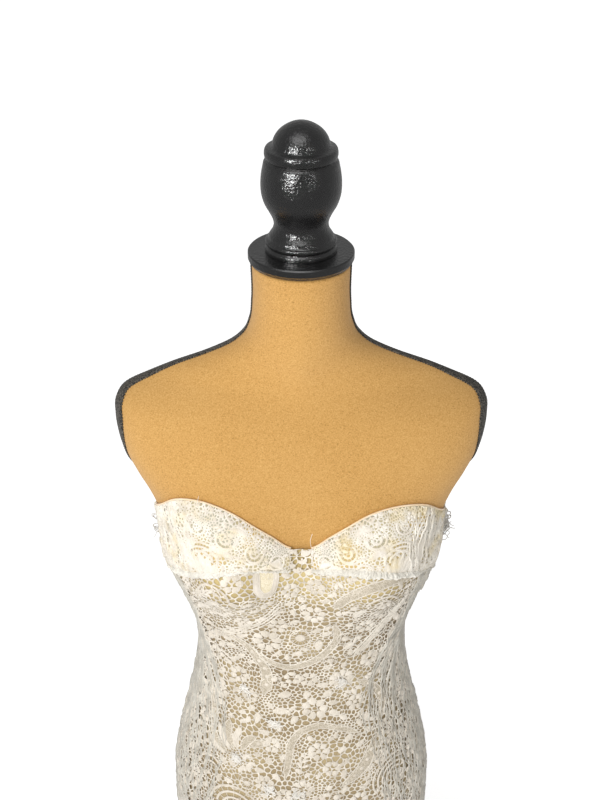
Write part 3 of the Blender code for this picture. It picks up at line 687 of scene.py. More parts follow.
# How much closer the cloth is drawn at the side seams, from which turn and height on, and over how much
hugging = {"low": 0.35, "high": 0.30, "fromTurn": 0.186, "turns": 0.030, "fromHeight": 0.06, "heights": 0.06}


def hug(turn, z):
    # Share of its lift that the cloth keeps
    side = np.clip((fromFront(turn) - hugging["fromTurn"]) / hugging["turns"], 0.0, 1.0)
    high = np.clip((np.asarray(z, float) - hugging["fromHeight"]) / hugging["heights"], 0.0, 1.0)
    return 1.0 - (hugging["low"] + hugging["high"] * high) * side


def bustSeam(turn):
    return edgeHeight(underbust, turn)


def below(turn):
    return np.full(np.shape(turn), figure["hem"])


# columns and rows of each lining, and whether it takes the dress's folds
lining = {"body": (88, 92, 1.0), "side": (40, 40, 0.0)}


def makeLining(name, kind, span, bottom, top, node):
    columns, rows, folded = lining[kind]
    turns = np.linspace(*span, columns)[None, :]
    low, high = bottom(turns), top(turns)
    heights = low + np.linspace(0.0, 1.0, rows)[:, None] * (high - low)
    turns = np.broadcast_to(turns, heights.shape)
    lift, keep = folded * folds(turns, heights), hug(turns, heights)
    inner, outer = layers["liningInner"] * keep + lift, layers["liningOuter"] * keep + lift
    return carry(shell(name, turns, heights, inner, outer, mats["lining"]), "lining", node)


side, wing, gore = layers["sideTurn"], layers["wingTurn"], layers["goreTurn"]
liningFront = makeLining("liningFront", "body", (-side, side), below, bustSeam, "lining_front")
liningBack = makeLining("liningBack", "body", layers["backTurns"], below, neckHeight, "lining_back")
wingLeft = makeLining("wing_lining_left", "side", (wing, side), underCup, neckHeight, "wing_left")
wingRight = makeLining("wing_lining_right", "side", (-side, -wing), underCup, neckHeight, "wing_right")
goreLining = makeLining("gore_lining", "side", (-gore, gore), underCup, neckHeight, "gore")
say("linings made")

# Cups
cup = {
    "columns": 70,
    "rows": 40,
    "start": 0.0126,
    "end": 0.2046,
    "topTuck": 0.0011,
    "sideTuck": 0.0022,
    "laceRoom": 0.0004,
}


def cupSpan(side):
    turns = np.linspace(cup["start"], cup["end"], cup["columns"])
    return turns, underCup(turns), neckHeight(side * turns)


def cupLift(across, up):
    crown = (1.0 - np.abs(2.0 * across - 1.0) ** 3) * (1.0 - np.abs(2.0 * up - 1.0) ** 4)
    tuck = cup["topTuck"] * np.clip(up, 0.0, 1.0) ** 6 + cup["sideTuck"] * across**8
    return layers["cupEdge"] - tuck + layers["cupCrown"] * crown


def makeCup(name, side, node):
    turns, low, high = cupSpan(side)
    up = np.linspace(0.0, 1.0, cup["rows"])[:, None]
    heights = low + up * (high - low)
    across = (turns - cup["start"]) / (cup["end"] - cup["start"])
    lifts = cupLift(across, up) - cup["laceRoom"]
    turns = np.broadcast_to(side * turns, heights.shape)
    if side < 0:
        turns, heights, lifts = turns[:, ::-1], heights[:, ::-1], lifts[:, ::-1]
    piece = carry(shell(name, turns, heights, layers["liningInner"], lifts, mats["cup"]), "cup_lace", node)


makeCup("moulded_cup_left", 1, "cup_left")
makeCup("moulded_cup_right", -1, "cup_right")


def ribbonAlong(name, turns, heights, lifts, radiusAcross, radiusUp, sides, material):
    # A closed soft roll along a path on the figure
    centres = onFigure(turns, heights, lifts)
    ahead = np.gradient(centres, axis=0)
    ahead /= np.linalg.norm(ahead, axis=1, keepdims=True)
    out = blendGrid(figureNormals, turns, heights)
    out /= np.linalg.norm(out, axis=1, keepdims=True)
    over = np.cross(out, ahead)
    angle = np.arange(sides) / sides * math.tau
    radiusAcross, radiusUp = np.broadcast_to(radiusAcross, len(turns)), np.broadcast_to(radiusUp, len(turns))
    points = (
        centres[:, None]
        + (radiusUp[:, None] * np.cos(angle))[..., None] * over[:, None]
        + (radiusAcross[:, None] * np.sin(angle))[..., None] * out[:, None]
    )
    return buildMesh(name, points, [faces[:, ::-1] for faces in tubeFaces(len(turns), sides)], material)


binding = {"height": 0.0020, "lowest": 0.0001, "lift": 0.0024, "half": 0.0013, "steps": 260, "sides": 10}


def makeBinding(name, low, high, node):
    # It grips the form, so it closes the gap that the padding leaves
    turns = np.linspace(low, high, binding["steps"])
    tall = binding["height"] / 2
    heights = neckHeight(turns) + binding["lowest"] + tall
    keep = hug(turns, heights)
    lift, half = binding["lift"] * keep, binding["half"] * keep
    made = ribbonAlong(name, turns, heights, lift, half, tall, binding["sides"], mats["binding"])
    carry(made, "binding", node)


makeBinding("cup_top_binding_left", cup["start"], layers["sideTurn"], "cup_edge_left")
makeBinding("cup_top_binding_right", -layers["sideTurn"], -cup["start"], "cup_edge_right")
makeBinding("back_top_binding", *layers["backTurns"], "back_edge")

# White seam trim under each cup: folded lace, frayed and uneven, that sinks into the lace at its ends
seamTrim = {
    "inner": 0.0044,
    "outer": 0.0062,
    "thick": 0.0028,
    "tall": 0.0046,
    "steps": 320,
    "rows": 11,
    # turn, share of its full size
    "left": (
        (0.0136, 0.40), (0.026, 0.85), (0.040, 1.0), (0.118, 1.0), (0.140, 0.95), (0.158, 0.45),
        (0.2046, 0.25),
    ),
    "right": (
        (0.0136, 0.25), (0.055, 0.30), (0.080, 0.42), (0.105, 0.85), (0.125, 1.0), (0.172, 1.0),
        (0.188, 0.55),
        (0.2046, 0.25),
    ),
}


def softNoise(shape, passes, seed):
    grid = np.random.default_rng(seed).normal(0.0, 1.0, shape)
    for _ in range(passes):
        for axis in (0, 1):
            grid = 0.5 * grid + 0.25 * (np.roll(grid, 1, axis) + np.roll(grid, -1, axis))
    return grid / grid.std()


def makeSeamTrim(word, side, node):
    turns = np.linspace(cup["start"] + 0.001, cup["end"], seamTrim["steps"])
    share = smoothTable(seamTrim[word], turns)[:, 0]
    wander = softNoise((1, len(turns)), 6, 5 + side)[0]
    edge = softNoise((2, len(turns)), 2, 9 + side)
    across = np.linspace(-1.0, 1.0, seamTrim["rows"])[:, None]
    tall = seamTrim["tall"] * share * (1.0 + 0.10 * np.where(across > 0, edge[0], edge[1]))
    heights = edgeHeight(underbust, turns) + 0.0004 * wander + across * tall
    rough = 1.0 + 0.16 * softNoise((len(across), len(turns)), 1, 3 + side)
    pile = np.sqrt(np.clip(1.0 - across**2, 0.0, 1.0)) * rough
    thick = seamTrim["outer"] - seamTrim["inner"] + seamTrim["thick"] * share
    outer = seamTrim["inner"] + 0.0002 + thick * pile
    turns, inner = np.broadcast_to(side * turns, heights.shape), np.full(heights.shape, seamTrim["inner"])
    if side < 0:
        turns, heights, outer = turns[:, ::-1], heights[:, ::-1], outer[:, ::-1]
    carry(shell(f"seam_trim_{word}", turns, heights, inner, outer, mats["trim"]), "trim", node)


makeSeamTrim("left", 1, "cup_band_left")
makeSeamTrim("right", -1, "cup_band_right")
say("cups, trim and bindings made")

# Lace, drawn flat in millimetres: x round from a panel's middle, y up from the waist, height off the cloth
lace = {
    "seed": 11,
    "mesh": 5.9,
    "backMesh": 8.3,
    "cupMesh": 3.3,
    "cupBarHalf": (0.50, 0.95),
    "jitter": 0.40,
    "barHalf": (0.48, 0.98),
    "ridge": 0.62,
    "edge": 0.10,
    "cord": 0.60,
    "cordHeight": 1.00,
    "petalHeight": 0.92,
    "sheerHeight": 0.42,
    "tileWide": 300.0,
    "tileTall": 370.0,
    "gather": 1.7,
    "gatherFrom": 0.55,
}
rng = np.random.default_rng(lace["seed"])


class FlatWork:
    def __init__(self):
        self.points, self.faces, self.count = [], {3: [], 4: []}, 0
        self.shift, self.mirror = (0.0, 0.0), 1

    def add(self, points, heights, faceSets):
        points = np.asarray(points, float).reshape(-1, 2) * (self.mirror, 1.0) + self.shift
        heights = np.broadcast_to(np.asarray(heights, float).reshape(-1), len(points))
        self.points.append(np.column_stack([points, heights]))
        for faces in faceSets:
            faces = np.asarray(faces) + self.count
            self.faces[faces.shape[1]].append(faces if self.mirror > 0 else faces[:, ::-1])
        self.count += len(points)


class FlatMask:
    # Where the net is left out, one square to a millimetre
    def __init__(self, low, high):
        self.low = np.array(low)
        self.grid = np.zeros((int(high[1] - low[1]), int(high[0] - low[0])), bool)
        self.shift, self.mirror = (0.0, 0.0), 1

    def block(self, outline):
        outline = np.asarray(outline, float) * (self.mirror, 1.0) + self.shift - self.low
        a, b = np.floor(outline.min(axis=0)).astype(int), np.ceil(outline.max(axis=0)).astype(int)
        a, b = np.maximum(a, 0), np.minimum(b, np.array(self.grid.shape[::-1]))
        if (a >= b).any():
            return
        x, y = np.meshgrid(np.arange(a[0], b[0]) + 0.5, np.arange(a[1], b[1]) + 0.5)
        inside = np.zeros(x.shape, bool)
        ahead = np.roll(outline, -1, axis=0)
        for (x0, y0), (x1, y1) in zip(outline, ahead):
            if y0 != y1:
                crosses = (y0 > y) != (y1 > y)
                inside ^= crosses & (x < x0 + (y - y0) * (x1 - x0) / (y1 - y0))
        self.grid[a[1] : b[1], a[0] : b[0]] |= inside

    def reads(self, points, grid):
        cell = np.floor(np.asarray(points) - self.low).astype(int)
        inside = ((cell >= 0) & (cell < np.array(grid.shape[::-1]))).all(axis=-1)
        cell = np.clip(cell, 0, np.array(grid.shape[::-1]) - 1)
        return inside & grid[cell[..., 1], cell[..., 0]]

    def shrunk(self, by):
        grid = self.grid.copy()
        for _ in range(by):
            for axis in (0, 1):
                grid = grid & np.roll(grid, 1, axis) & np.roll(grid, -1, axis)
        return grid


def circle(x, y, radius, t):
    return np.stack([x + radius * np.cos(t), y + radius * np.sin(t)], axis=1)


def heading(angle):
    return math.cos(math.radians(angle)), math.sin(math.radians(angle))


def bowed(x, y, angle, length, bow):
    # Start, middle and end of a line that bends by a share of its length
    c, s = heading(angle)
    bend = bow * length
    middle = (x + 0.5 * length * c - bend * s, y + 0.5 * length * s + bend * c)
    return (x, y), middle, (x + length * c, y + length * s)


def smoothPath(points, step=1.6):
    points = np.asarray(points, float)
    run = np.concatenate([[0.0], np.cumsum(np.linalg.norm(np.diff(points, axis=0), axis=1))])
    return smoothTable(np.column_stack([run, points]), np.linspace(0.0, run[-1], max(3, int(run[-1] / step))))


def pathNormals(path):
    ahead = np.gradient(path, axis=0)
    ahead /= np.maximum(np.linalg.norm(ahead, axis=1, keepdims=True), 1e-9)
    return np.stack([-ahead[:, 1], ahead[:, 0]], axis=1)


class LaceDrawing:
    def __init__(self, low, high):
        self.mask = FlatMask(low, high)
        self.net, self.cords, self.toile, self.sheer, self.aged, self.fluff = (FlatWork() for _ in range(6))
        self.low, self.high = low, high

    def repeatAt(self, shift, mirror):
        for part in (self.mask, self.net, self.cords, self.toile, self.sheer, self.aged, self.fluff):
            part.shift, part.mirror = shift, mirror

    def strip(self, work, path, offsets, heights):
        # Offsets run from right to left of the path, one column or one row per step
        offsets = np.broadcast_to(np.asarray(offsets, float), (len(path), np.shape(offsets)[-1]))
        points = path[:, None] + offsets[..., None] * pathNormals(path)[:, None]
        heights = np.broadcast_to(np.asarray(heights, float), offsets.shape)
        rows, columns = offsets.shape
        work.add(points, heights, [gridFaces(rows, columns)[:, ::-1]])

    def cord(self, path, half=None, height=None):
        half = half or lace["cord"]
        height = height or lace["cordHeight"]
        fromEnd = np.minimum(np.arange(len(path)), np.arange(len(path))[::-1])
        taper = np.clip(fromEnd / 2.0, 0.35, 1.0)[:, None]
        self.strip(self.cords, path, taper * (-half, 0.0, half), (0.15, height, 0.15))

    def fill(self, outline, height=None, inset=0.68, edge=0.22, work=None):
        height = height or lace["petalHeight"]
        outline = np.asarray(outline, float)
        n, middle = len(outline), outline.mean(axis=0)
        points = np.concatenate([[middle], middle + (outline - middle) * inset, outline])
        heights = np.concatenate([[height * 0.94], np.full(n, height), np.full(n, edge)])
        k = np.arange(n)
        m = (k + 1) % n
        inner = np.stack([np.zeros(n, int), 1 + k, 1 + m], axis=1)
        outer = np.stack([1 + k, 1 + n + k, 1 + n + m, 1 + m], axis=1)
        (work or self.toile).add(points, heights, [inner, outer])
        self.mask.block(outline)

    def petal(self, x, y, angle, length, width, count=10):
        t = np.arange(count) / count * math.tau
        along = 0.5 * length * np.cos(t)
        across = 0.5 * width * np.sin(t) * (1.0 + 0.3 * np.cos(t))
        c, s = heading(angle)
        self.fill(np.stack([x + along * c - across * s, y + along * s + across * c], axis=1))

    def disc(self, x, y, radius, count=10):
        t = np.arange(count) / count * math.tau
        self.fill(circle(x, y, radius, t), height=1.15)

    def flower(self, x, y, radius, petals, turn=0.0, middle="open"):
        for k in range(petals):
            angle = turn + 360.0 * k / petals
            away = 0.66 * radius * rng.uniform(0.94, 1.06)
            c, s = heading(angle)
            wide = 1.05 * math.tau * 0.66 * radius / petals * rng.uniform(0.85, 1.05)
            self.petal(x + away * c, y + away * s, angle, 0.70 * radius * rng.uniform(0.92, 1.1), wide)
        if middle == "solid":
            self.disc(x, y, 0.24 * radius)
        elif middle == "ring":
            t = np.linspace(0.0, math.tau, 15)
            self.cord(circle(x, y, 0.27 * radius, t))

    def spider(self, x, y, inner, outer, legs):
        # A close-worked spot in an open ring, held by legs
        t = np.linspace(0.0, math.tau, 28)
        self.disc(x, y, inner, 12)
        self.cord(circle(x, y, outer, t), half=0.7)
        for k in range(legs):
            a = math.tau * (k + rng.uniform(-0.15, 0.15)) / legs
            reach = np.linspace(inner - 0.8, outer + 0.4, 4)[:, None]
            self.cord(np.array([x, y]) + reach * (math.cos(a), math.sin(a)), half=0.55, height=0.8)
        self.mask.block(circle(x, y, outer + 0.5, t[:-1]))

    def band(self, points, half, dots=0.0, solid=False, ends=0.35):
        path = smoothPath(points, 1.8)
        share = np.linspace(0.0, 1.0, len(path))
        taper = np.clip(np.minimum(share, 1 - share) / 0.08, ends, 1.0)
        half = np.interp(share, np.linspace(0, 1, len(half)), half) * taper
        side = pathNormals(path)
        work = self.toile if solid else self.sheer
        top = lace["petalHeight"] if solid else lace["sheerHeight"]
        self.strip(work, path, half[:, None] * np.linspace(-1.0, 1.0, 5), (0.2, top, top, top, 0.2))
        right, left = path - side * half[:, None], path + side * half[:, None]
        self.cord(right)
        self.cord(left)
        self.mask.block(np.concatenate([right, left[::-1]]))
        if dots:
            length = len(path) * 1.8
            for at in np.arange(dots * 0.6, length - dots * 0.4, dots):
                k = min(int(at / 1.8), len(path) - 1)
                if half[k] > 2.6:
                    self.disc(*path[k], min(2.6, half[k] * 0.55))

    def leaf(self, x, y, angle, length, width, dots=0.0, solid=True):
        half = (0.4, width * 0.42, width * 0.5, width * 0.40, 0.4)
        self.band(bowed(x, y, angle, length, 0.12), half, dots=dots, solid=solid, ends=0.6)

    def fan(self, x, y, first, rows, start, end, solid=3.6, gap=2.6, pitch=3.4):
        # Rings of close work with a row of windows between each two
        radius = first
        for row in range(rows):
            steps = max(6, int(abs(end - start) / 360 * math.tau * radius / 2.2))
            ring = circle(x, y, radius, np.radians(np.linspace(start, end, steps)))
            half = solid / 2
            self.strip(self.toile, ring, (-half, -half * 0.6, half * 0.6, half), (0.3, 0.85, 0.85, 0.3))
            if row < rows - 1:
                low, high = radius + half, radius + half + gap
                count = max(3, int(abs(end - start) / 360 * math.tau * low / pitch))
                for angle in np.radians(np.linspace(start, end, count)):
                    reach = np.linspace(low - 0.6, high + 0.6, 3)[:, None]
                    bar = np.array([x, y]) + reach * (math.cos(angle), math.sin(angle))
                    self.cord(bar, half=0.55, height=0.75)
            radius += solid + gap
        outer = radius - gap - solid / 2
        inner = first - solid / 2
        angles = np.radians(np.linspace(start, end, 40))
        arc = np.stack([np.cos(angles), np.sin(angles)], axis=1)
        self.mask.block(np.concatenate([arc * outer, arc[::-1] * inner]) + (x, y))

    def spray(self, x, y, angle, length, leaves, size):
        stem = smoothPath(bowed(x, y, angle, length, 0.14))
        self.cord(stem, half=0.8)
        for k in range(leaves):
            at = stem[int((k + 1) / (leaves + 1) * (len(stem) - 1))]
            for side in (-1, 1):
                lean = angle + side * (48 - 4 * k)
                out = size * (1.0 - 0.06 * k)
                c, s = heading(lean)
                self.petal(at[0] + 0.55 * out * c, at[1] + 0.55 * out * s, lean, out, out * 0.42)
        c, s = heading(angle)
        self.petal(stem[-1][0] + 0.4 * size * c, stem[-1][1] + 0.4 * size * s, angle, size, size * 0.42)

    def tangle(self, x, y, spread, loops):
        # Tangled loose ends: a matted heart with loops that stand off it
        angles = np.arange(9) / 9 * math.tau
        ragged = spread * rng.uniform(0.7, 1.05, 9)
        self.fill(circle(x, y, ragged, angles), height=0.9, work=self.fluff)
        for _ in range(loops):
            here = np.array([x, y]) + rng.normal(0, spread * 0.55, 2)
            heading, bend = rng.uniform(0, math.tau), rng.normal(0, 0.5)
            path = [here]
            for _ in range(6):
                heading += bend + rng.normal(0, 0.2)
                here = here + 1.5 * np.array([math.cos(heading), math.sin(heading)])
                path.append(here)
            rise = rng.uniform(1.2, 2.8)
            self.strip(self.fluff, np.array(path), (-0.42, 0.0, 0.42), (rise - 0.5, rise + 0.3, rise - 0.5))

    def scatter(self, tries, low, high, scale=1.0):
        # Small flowers, petals and sprigs wherever the net still runs free
        spots = rng.uniform(low, high, (tries, 2))
        kinds = rng.uniform(0, 1, tries)
        turns = rng.uniform(0, 360, tries)
        sizes = scale * rng.uniform(0.85, 1.15, tries)
        for (x, y), kind, turn, size in zip(spots, kinds, turns, sizes):
            radius = 9.5 * size if kind < 0.22 else 5.4 * size
            ring = np.radians(np.arange(0, 360, 30))
            around = np.concatenate([[(x, y)], circle(x, y, radius, ring), circle(x, y, radius * 0.5, ring)])
            if self.mask.reads(around, self.mask.grid).any():
                continue
            if kind < 0.09:
                self.flower(x, y, radius, 5, turn, "solid")
            elif kind < 0.16:
                self.flower(x, y, radius, 6, turn, "open")
            elif kind < 0.22:
                self.spider(x, y, radius * 0.45, radius * 0.95, 11)
            elif kind < 0.55:
                self.petal(x, y, turn, 11.5 * size, 6.8 * size)
            elif kind < 0.75:
                self.petal(x - 2.2 * size, y - 1.5 * size, turn, 9.0 * size, 5.2 * size)
                self.petal(x + 2.6 * size, y + 2.2 * size, turn + 55, 9.0 * size, 5.2 * size)
            else:
                for lean in (turn - 42, turn, turn + 42):
                    c, s = heading(lean)
                    self.petal(x + 3.6 * size * c, y + 3.6 * size * s, lean, 7.5 * size, 3.8 * size)

    def knit(self, size, bars):
        # The net of rounded holes between the motifs
        low, high = np.array(self.low, float), np.array(self.high, float)
        rows = int((high[1] - low[1]) / (size * 0.866))
        columns = int((high[0] - low[0]) / size)
        c, r = np.meshgrid(np.arange(columns), np.arange(rows))
        across, up = (c + 0.5 * (r % 2)) * size, r * size * 0.866
        seeds = np.stack([low[0] + across, low[1] + up], axis=-1).reshape(-1, 2)
        seeds = seeds + rng.normal(0.0, lace["jitter"] * size * 0.5, seeds.shape)
        # The hand-set net opens and closes, and its holes lean
        x, y = seeds[:, 0] / size, seeds[:, 1] / size
        sideways = 0.78 * np.sin(x * 0.46 + y * 0.19) + 0.52 * np.sin(y * 0.49 + 1.0)
        upwards = 0.78 * np.sin(y * 0.49 - x * 0.18 + 2.0) + 0.52 * np.sin(x * 0.42)
        seeds = seeds + size * np.stack([sideways, upwards], axis=1)
        inside = self.mask.reads(seeds, self.mask.shrunk(2))
        found = delaunay_2d_cdt([tuple(p) for p in seeds], [], [], 0, 1e-6)
        sites, triangles = np.array([tuple(p) for p in found[0]]), np.array(found[2])
        original = [ids[0] if ids else -1 for ids in found[3]]
        a, b, c = (sites[triangles[:, k]] for k in range(3))
        ab, ac = b - a, c - a
        cross = 2 * (ab[:, 0] * ac[:, 1] - ab[:, 1] * ac[:, 0])
        cross = np.where(np.abs(cross) < 1e-9, 1e-9, cross)
        ab2, ac2 = (ab**2).sum(axis=1), (ac**2).sum(axis=1)
        towards = np.stack([ac[:, 1] * ab2 - ab[:, 1] * ac2, ab[:, 0] * ac2 - ac[:, 0] * ab2], axis=1)
        centres = a + towards / cross[:, None]
        around = [[] for _ in sites]
        for k, corners in enumerate(triangles):
            for corner in corners:
                around[corner].append(k)
        groups = {}
        for site, near in enumerate(around):
            if original[site] < 0 or inside[original[site]] or len(near) < 4:
                continue
            arms = centres[near] - sites[site]
            if np.abs(arms).max() > size * 1.9:
                continue
            order = np.argsort(np.arctan2(arms[:, 1], arms[:, 0]))
            groups.setdefault(len(near), []).append(np.array(near)[order])
        self.net.points = [np.column_stack([centres, np.full(len(centres), lace["ridge"])])]
        self.net.count = len(centres)
        for n, cells in groups.items():
            cells = np.array(cells)
            corners = centres[cells]
            middle = corners.mean(axis=1, keepdims=True)
            reach = np.linalg.norm(corners - middle, axis=2).mean(axis=1)[:, None, None] * 0.87
            bar = rng.uniform(*bars, (len(cells), 1, 1))
            hole = middle + (corners - middle) * np.clip(1.0 - bar / reach, 0.25, 0.9)
            before, after = np.roll(hole, 1, axis=1), np.roll(hole, -1, axis=1)
            rounded = np.stack([hole * 0.72 + before * 0.28, hole * 0.72 + after * 0.28], axis=2)
            start = self.net.count + (np.arange(len(cells)) * 2 * n)[:, None]
            k = np.arange(n)
            m = (k + 1) % n
            sides = np.stack([cells[:, k], cells[:, m], start + 2 * m, start + 2 * k + 1], axis=2)
            tips = np.stack([cells[:, k], start + 2 * k + 1, start + 2 * k], axis=2)
            flat = rounded.reshape(-1, 2)
            self.net.points.append(np.column_stack([flat, np.full(len(flat), lace["edge"])]))
            self.net.count += len(flat)
            self.net.faces[4].append(sides.reshape(-1, 4))
            self.net.faces[3].append(tips.reshape(-1, 3))


def gathered(x, z):
    # The lace is cut wider than the panel and gathered towards its side seams
    half = layers["sideTurn"] * roundLength(z) * 1000.0
    start = half * lace["gatherFrom"]
    rest = half - start
    full = lace["gather"] * rest
    t = np.clip((np.abs(x) - start) / full, 0.0, 1.3)
    inner = lace["gather"] * t + (1.0 - lace["gather"]) * t**2
    return np.sign(x) * np.where(np.abs(x) < start, np.abs(x), start + rest * inner)


def layOn(name, work, region, material):
    flat = np.concatenate(work.points)
    z = flat[:, 1] / 1000.0
    round_ = region["spread"](flat[:, 0], z) / 1000.0 / roundLength(z)
    turn = region["middle"] + round_
    low, high = region["turns"]
    flags = (turn <= low) * 1 + (turn >= high) * 2
    turn = np.clip(turn, low, high)
    bottom, top = region["bottom"](turn), region["top"](turn)
    flags = flags + (z <= bottom) * 4 + (z >= top) * 8
    z = np.clip(z, bottom, top)
    points = onFigure(turn, z, region["lift"](turn, z) + flat[:, 2] / 1000.0)
    faceSets = []
    for size, sets in work.faces.items():
        if sets:
            faces = np.concatenate(sets)
            out = flags[faces[:, 0]]
            for k in range(1, size):
                out = out & flags[faces[:, k]]
            if (out == 0).any():
                faceSets.append(faces[out == 0])
    if not faceSets:
        return None
    used = np.zeros(len(points), bool)
    for faces in faceSets:
        used[faces.ravel()] = True
    index = np.cumsum(used) - 1
    return buildMesh(name, points[used], [index[faces] for faces in faceSets], material)


def drawRepeat(draw):
    # One repeat of the dress's lace: sheer bands, leaves, fans and flowers about a loose S
    draw.band(((35, 150), (50, 174), (70, 190), (95, 194), (122, 186)), (4.6, 5.2, 4.2))
    draw.band(((35, 122), (39, 97), (27, 74), (9, 59), (-13, 52), (-31, 57), (-46, 70)), (3.6, 4.4, 4.2, 3.0))
    draw.band(
        ((-92, 96), (-77, 88), (-61, 79), (-49, 62), (-40, 46), (-38, 28), (-42, 6)), (2.6, 4.0, 5.6, 7.0),
        dots=13
    )
    draw.band(
        ((-19, -112), (-14, -80), (-11, -60), (0, -44), (20, -36), (43, -42), (68, -54)),
        (3.2, 4.4, 4.0, 2.6)
    )
    for off in (-5.0, -1.5, 1.5, 5.5):
        draw.cord(
            smoothPath(
                (
                    (-118, 66 + off * 0.3), (-96, 84 + off), (-74, 99 + off), (-42, 124 + off * 1.5),
                    (-22, 148 + off * 2)
                )
            ),
            0.9, 1.3
        )
        draw.cord(
            smoothPath(((60 - off, 64), (80 - off, 88), (102 - off, 122), (118 - off * 0.5, 150))), 0.9, 1.3
        )
    draw.band(((-128, 20), (-112, -6), (-104, -40), (-110, -72)), (2.0, 4.6, 3.0), dots=11)
    draw.band(((62, 22), (84, 4), (96, -22), (92, -50)), (2.4, 5.0, 2.6), dots=12)
    draw.leaf(89, -64, 236, 76, 15, dots=12, solid=False)
    draw.leaf(-60, -72, 20, 26, 10, dots=7, solid=False)
    draw.leaf(-80, -82, 95, 42, 11, solid=False)
    draw.leaf(-70, -80, 52, 32, 10, solid=False)
    draw.leaf(-88, -88, 128, 34, 9, solid=False)
    draw.fill(
        ((-46, 204), (-46, 184), (-42, 178), (-37, 176), (-32, 179), (-30, 188), (-29, 204)), height=0.4,
        work=draw.aged
    )
    draw.band(
        ((-48, 208), (-48, 196), (-47, 183), (-40, 174), (-32, 176), (-28, 186), (-27, 208)),
        (3.3, 3.2, 2.2), solid=True
    )
    for x, y, angle, length, width in (
        (-76, -80, 78, 34, 7), (-84, -84, 112, 36, 7), (-90, -90, 146, 30, 7),
        (56, 132, 60, 24, 8), (104, 60, 70, 30, 9), (112, 30, 100, 26, 8), (-118, 120, 40, 30, 9),
        (-100, 140, 55, 30, 8),
        (118, 96, 120, 24, 8), (-134, 96, 70, 24, 8),
    ):
        draw.leaf(x, y, angle, length, width)
    draw.fan(-82, -166, 15, 3, 8, 172, solid=3.0, gap=5.2, pitch=6.0)
    draw.fan(-112, -122, 11, 2, 20, 175, solid=2.8, gap=5.0, pitch=5.0)
    draw.fan(118, -132, 12, 4, 60, 200, solid=2.8, gap=3.4, pitch=5.0)
    draw.fan(84, 160, 9, 2, 10, 170, solid=2.8, gap=4.4, pitch=4.6)
    draw.fan(-92, 172, 10, 2, 0, 180, solid=2.8, gap=4.4, pitch=4.6)
    for x, y, radius, petals, turn, middle in (
        (-37, 92, 17, 8, 10, "open"), (-10, 34, 10, 5, 20, "open"), (8, 32, 11, 6, 50, "ring"),
        (15, -12, 15, 7, 0, "open"), (-25, 118, 11, 6, 0, "solid"), (14, 136, 13, 7, 15, "open"),
        (-62, 122, 10, 6, 0, "solid"),
        (70, 110, 11, 6, 0, "open"), (78, 50, 12, 6, 20, "ring"), (45, 28, 15, 9, 0, "ring"),
        (62, -10, 11, 6, 0, "solid"),
        (-70, 28, 12, 7, 0, "open"), (20, -72, 13, 7, 0, "solid"), (36, -98, 11, 6, 0, "open"),
        (-34, -64, 11, 6, 0, "ring"),
        (2, -126, 13, 8, 0, "open"), (-44, -120, 12, 7, 10, "solid"), (-100, 48, 11, 6, 0, "open"),
        (96, -96, 10, 6, 0, "solid"),
        (126, 70, 11, 6, 0, "open"), (-126, -30, 11, 6, 0, "solid"), (-12, 172, 10, 6, 0, "open"),
        (16, 178, 11, 6, 15, "solid"),
        (-72, 196, 11, 6, 0, "open"), (130, 20, 11, 6, 0, "ring"), (70, -150, 12, 7, 0, "open"),
        (20, -158, 12, 7, 0, "solid"),
    ):
        draw.flower(x, y, radius, petals, turn, middle)
    for x, y, angle, length, width in (
        (19, 86, 85, 17, 9), (-19, 8, 20, 16, 10), (6, 8, 75, 12, 8), (29, 8, 40, 14, 9),
        (-24, -16, 5, 15, 10),
        (-8, -28, 60, 13, 8), (38, -20, 150, 14, 8), (-50, -30, 80, 15, 8), (52, 80, 30, 15, 8),
        (-4, 74, 20, 12, 7),
    ):
        draw.petal(x, y, angle, length, width)
    for x, y, inner, outer, legs in (
        (-1, 99, 5.6, 11.5, 14), (48, 94, 4.4, 9.0, 12), (32, 60, 4.0, 8.0, 11), (-30, 30, 3.6, 8.0, 10)
    ):
        draw.spider(x, y, inner, outer, legs)
    draw.spray(-112, 148, 60, 34, 3, 11)
    draw.spray(128, 120, 250, 36, 3, 11)
    draw.spray(0, -100, 70, 26, 3, 9)


# Where the gathered strands begin on each side: up from the waist in millimetres, turn
crinkleStart = {
    -1: (
        (-450, 0.150), (-200, 0.130), (-60, 0.125), (20, 0.148), (70, 0.180), (120, 0.172), (200, 0.165),
        (300, 0.150)
    ),
    1: (
        (-450, 0.140), (-200, 0.120), (-100, 0.115), (-10, 0.104), (40, 0.130), (90, 0.165), (150, 0.152),
        (300, 0.140)
    ),
}


def crinkleWork(sides, lines, bottom, top, starts=None):
    # Strands of gathered lace that run down beside each side seam, x as thousandths of a turn
    draw = LaceDrawing((0.0, 0.0), (1.0, 1.0))
    for side in sides:
        for line in range(lines):
            share = (line + rng.uniform(0.1, 0.9)) / lines
            y = bottom + rng.uniform(-60, 20)
            while y < top:
                length = rng.uniform(35, 120)
                ys = np.arange(y, min(y + length, top), 3.0)
                if len(ys) > 5:
                    begin = smoothTable(starts or crinkleStart[side], ys)[:, 0]
                    sway = 2.2 * np.sin(ys / 10.0 + line * 1.7) + 3.0 * np.sin(ys / 29.0 + line * 0.9)
                    sway = sway + 0.9 * np.sin(ys / 2.1 + line * 2.3)
                    x = (begin + share * (0.252 - begin)) * 1000.0 + sway
                    path = np.stack([side * x, ys], axis=1)
                    draw.cord(path, half=rng.uniform(0.45, 1.0), height=rng.uniform(1.0, 2.7))
                y += length + rng.uniform(3, 18)
    return draw.cords


def byTurn(x, z):
    return x * roundLength(z)


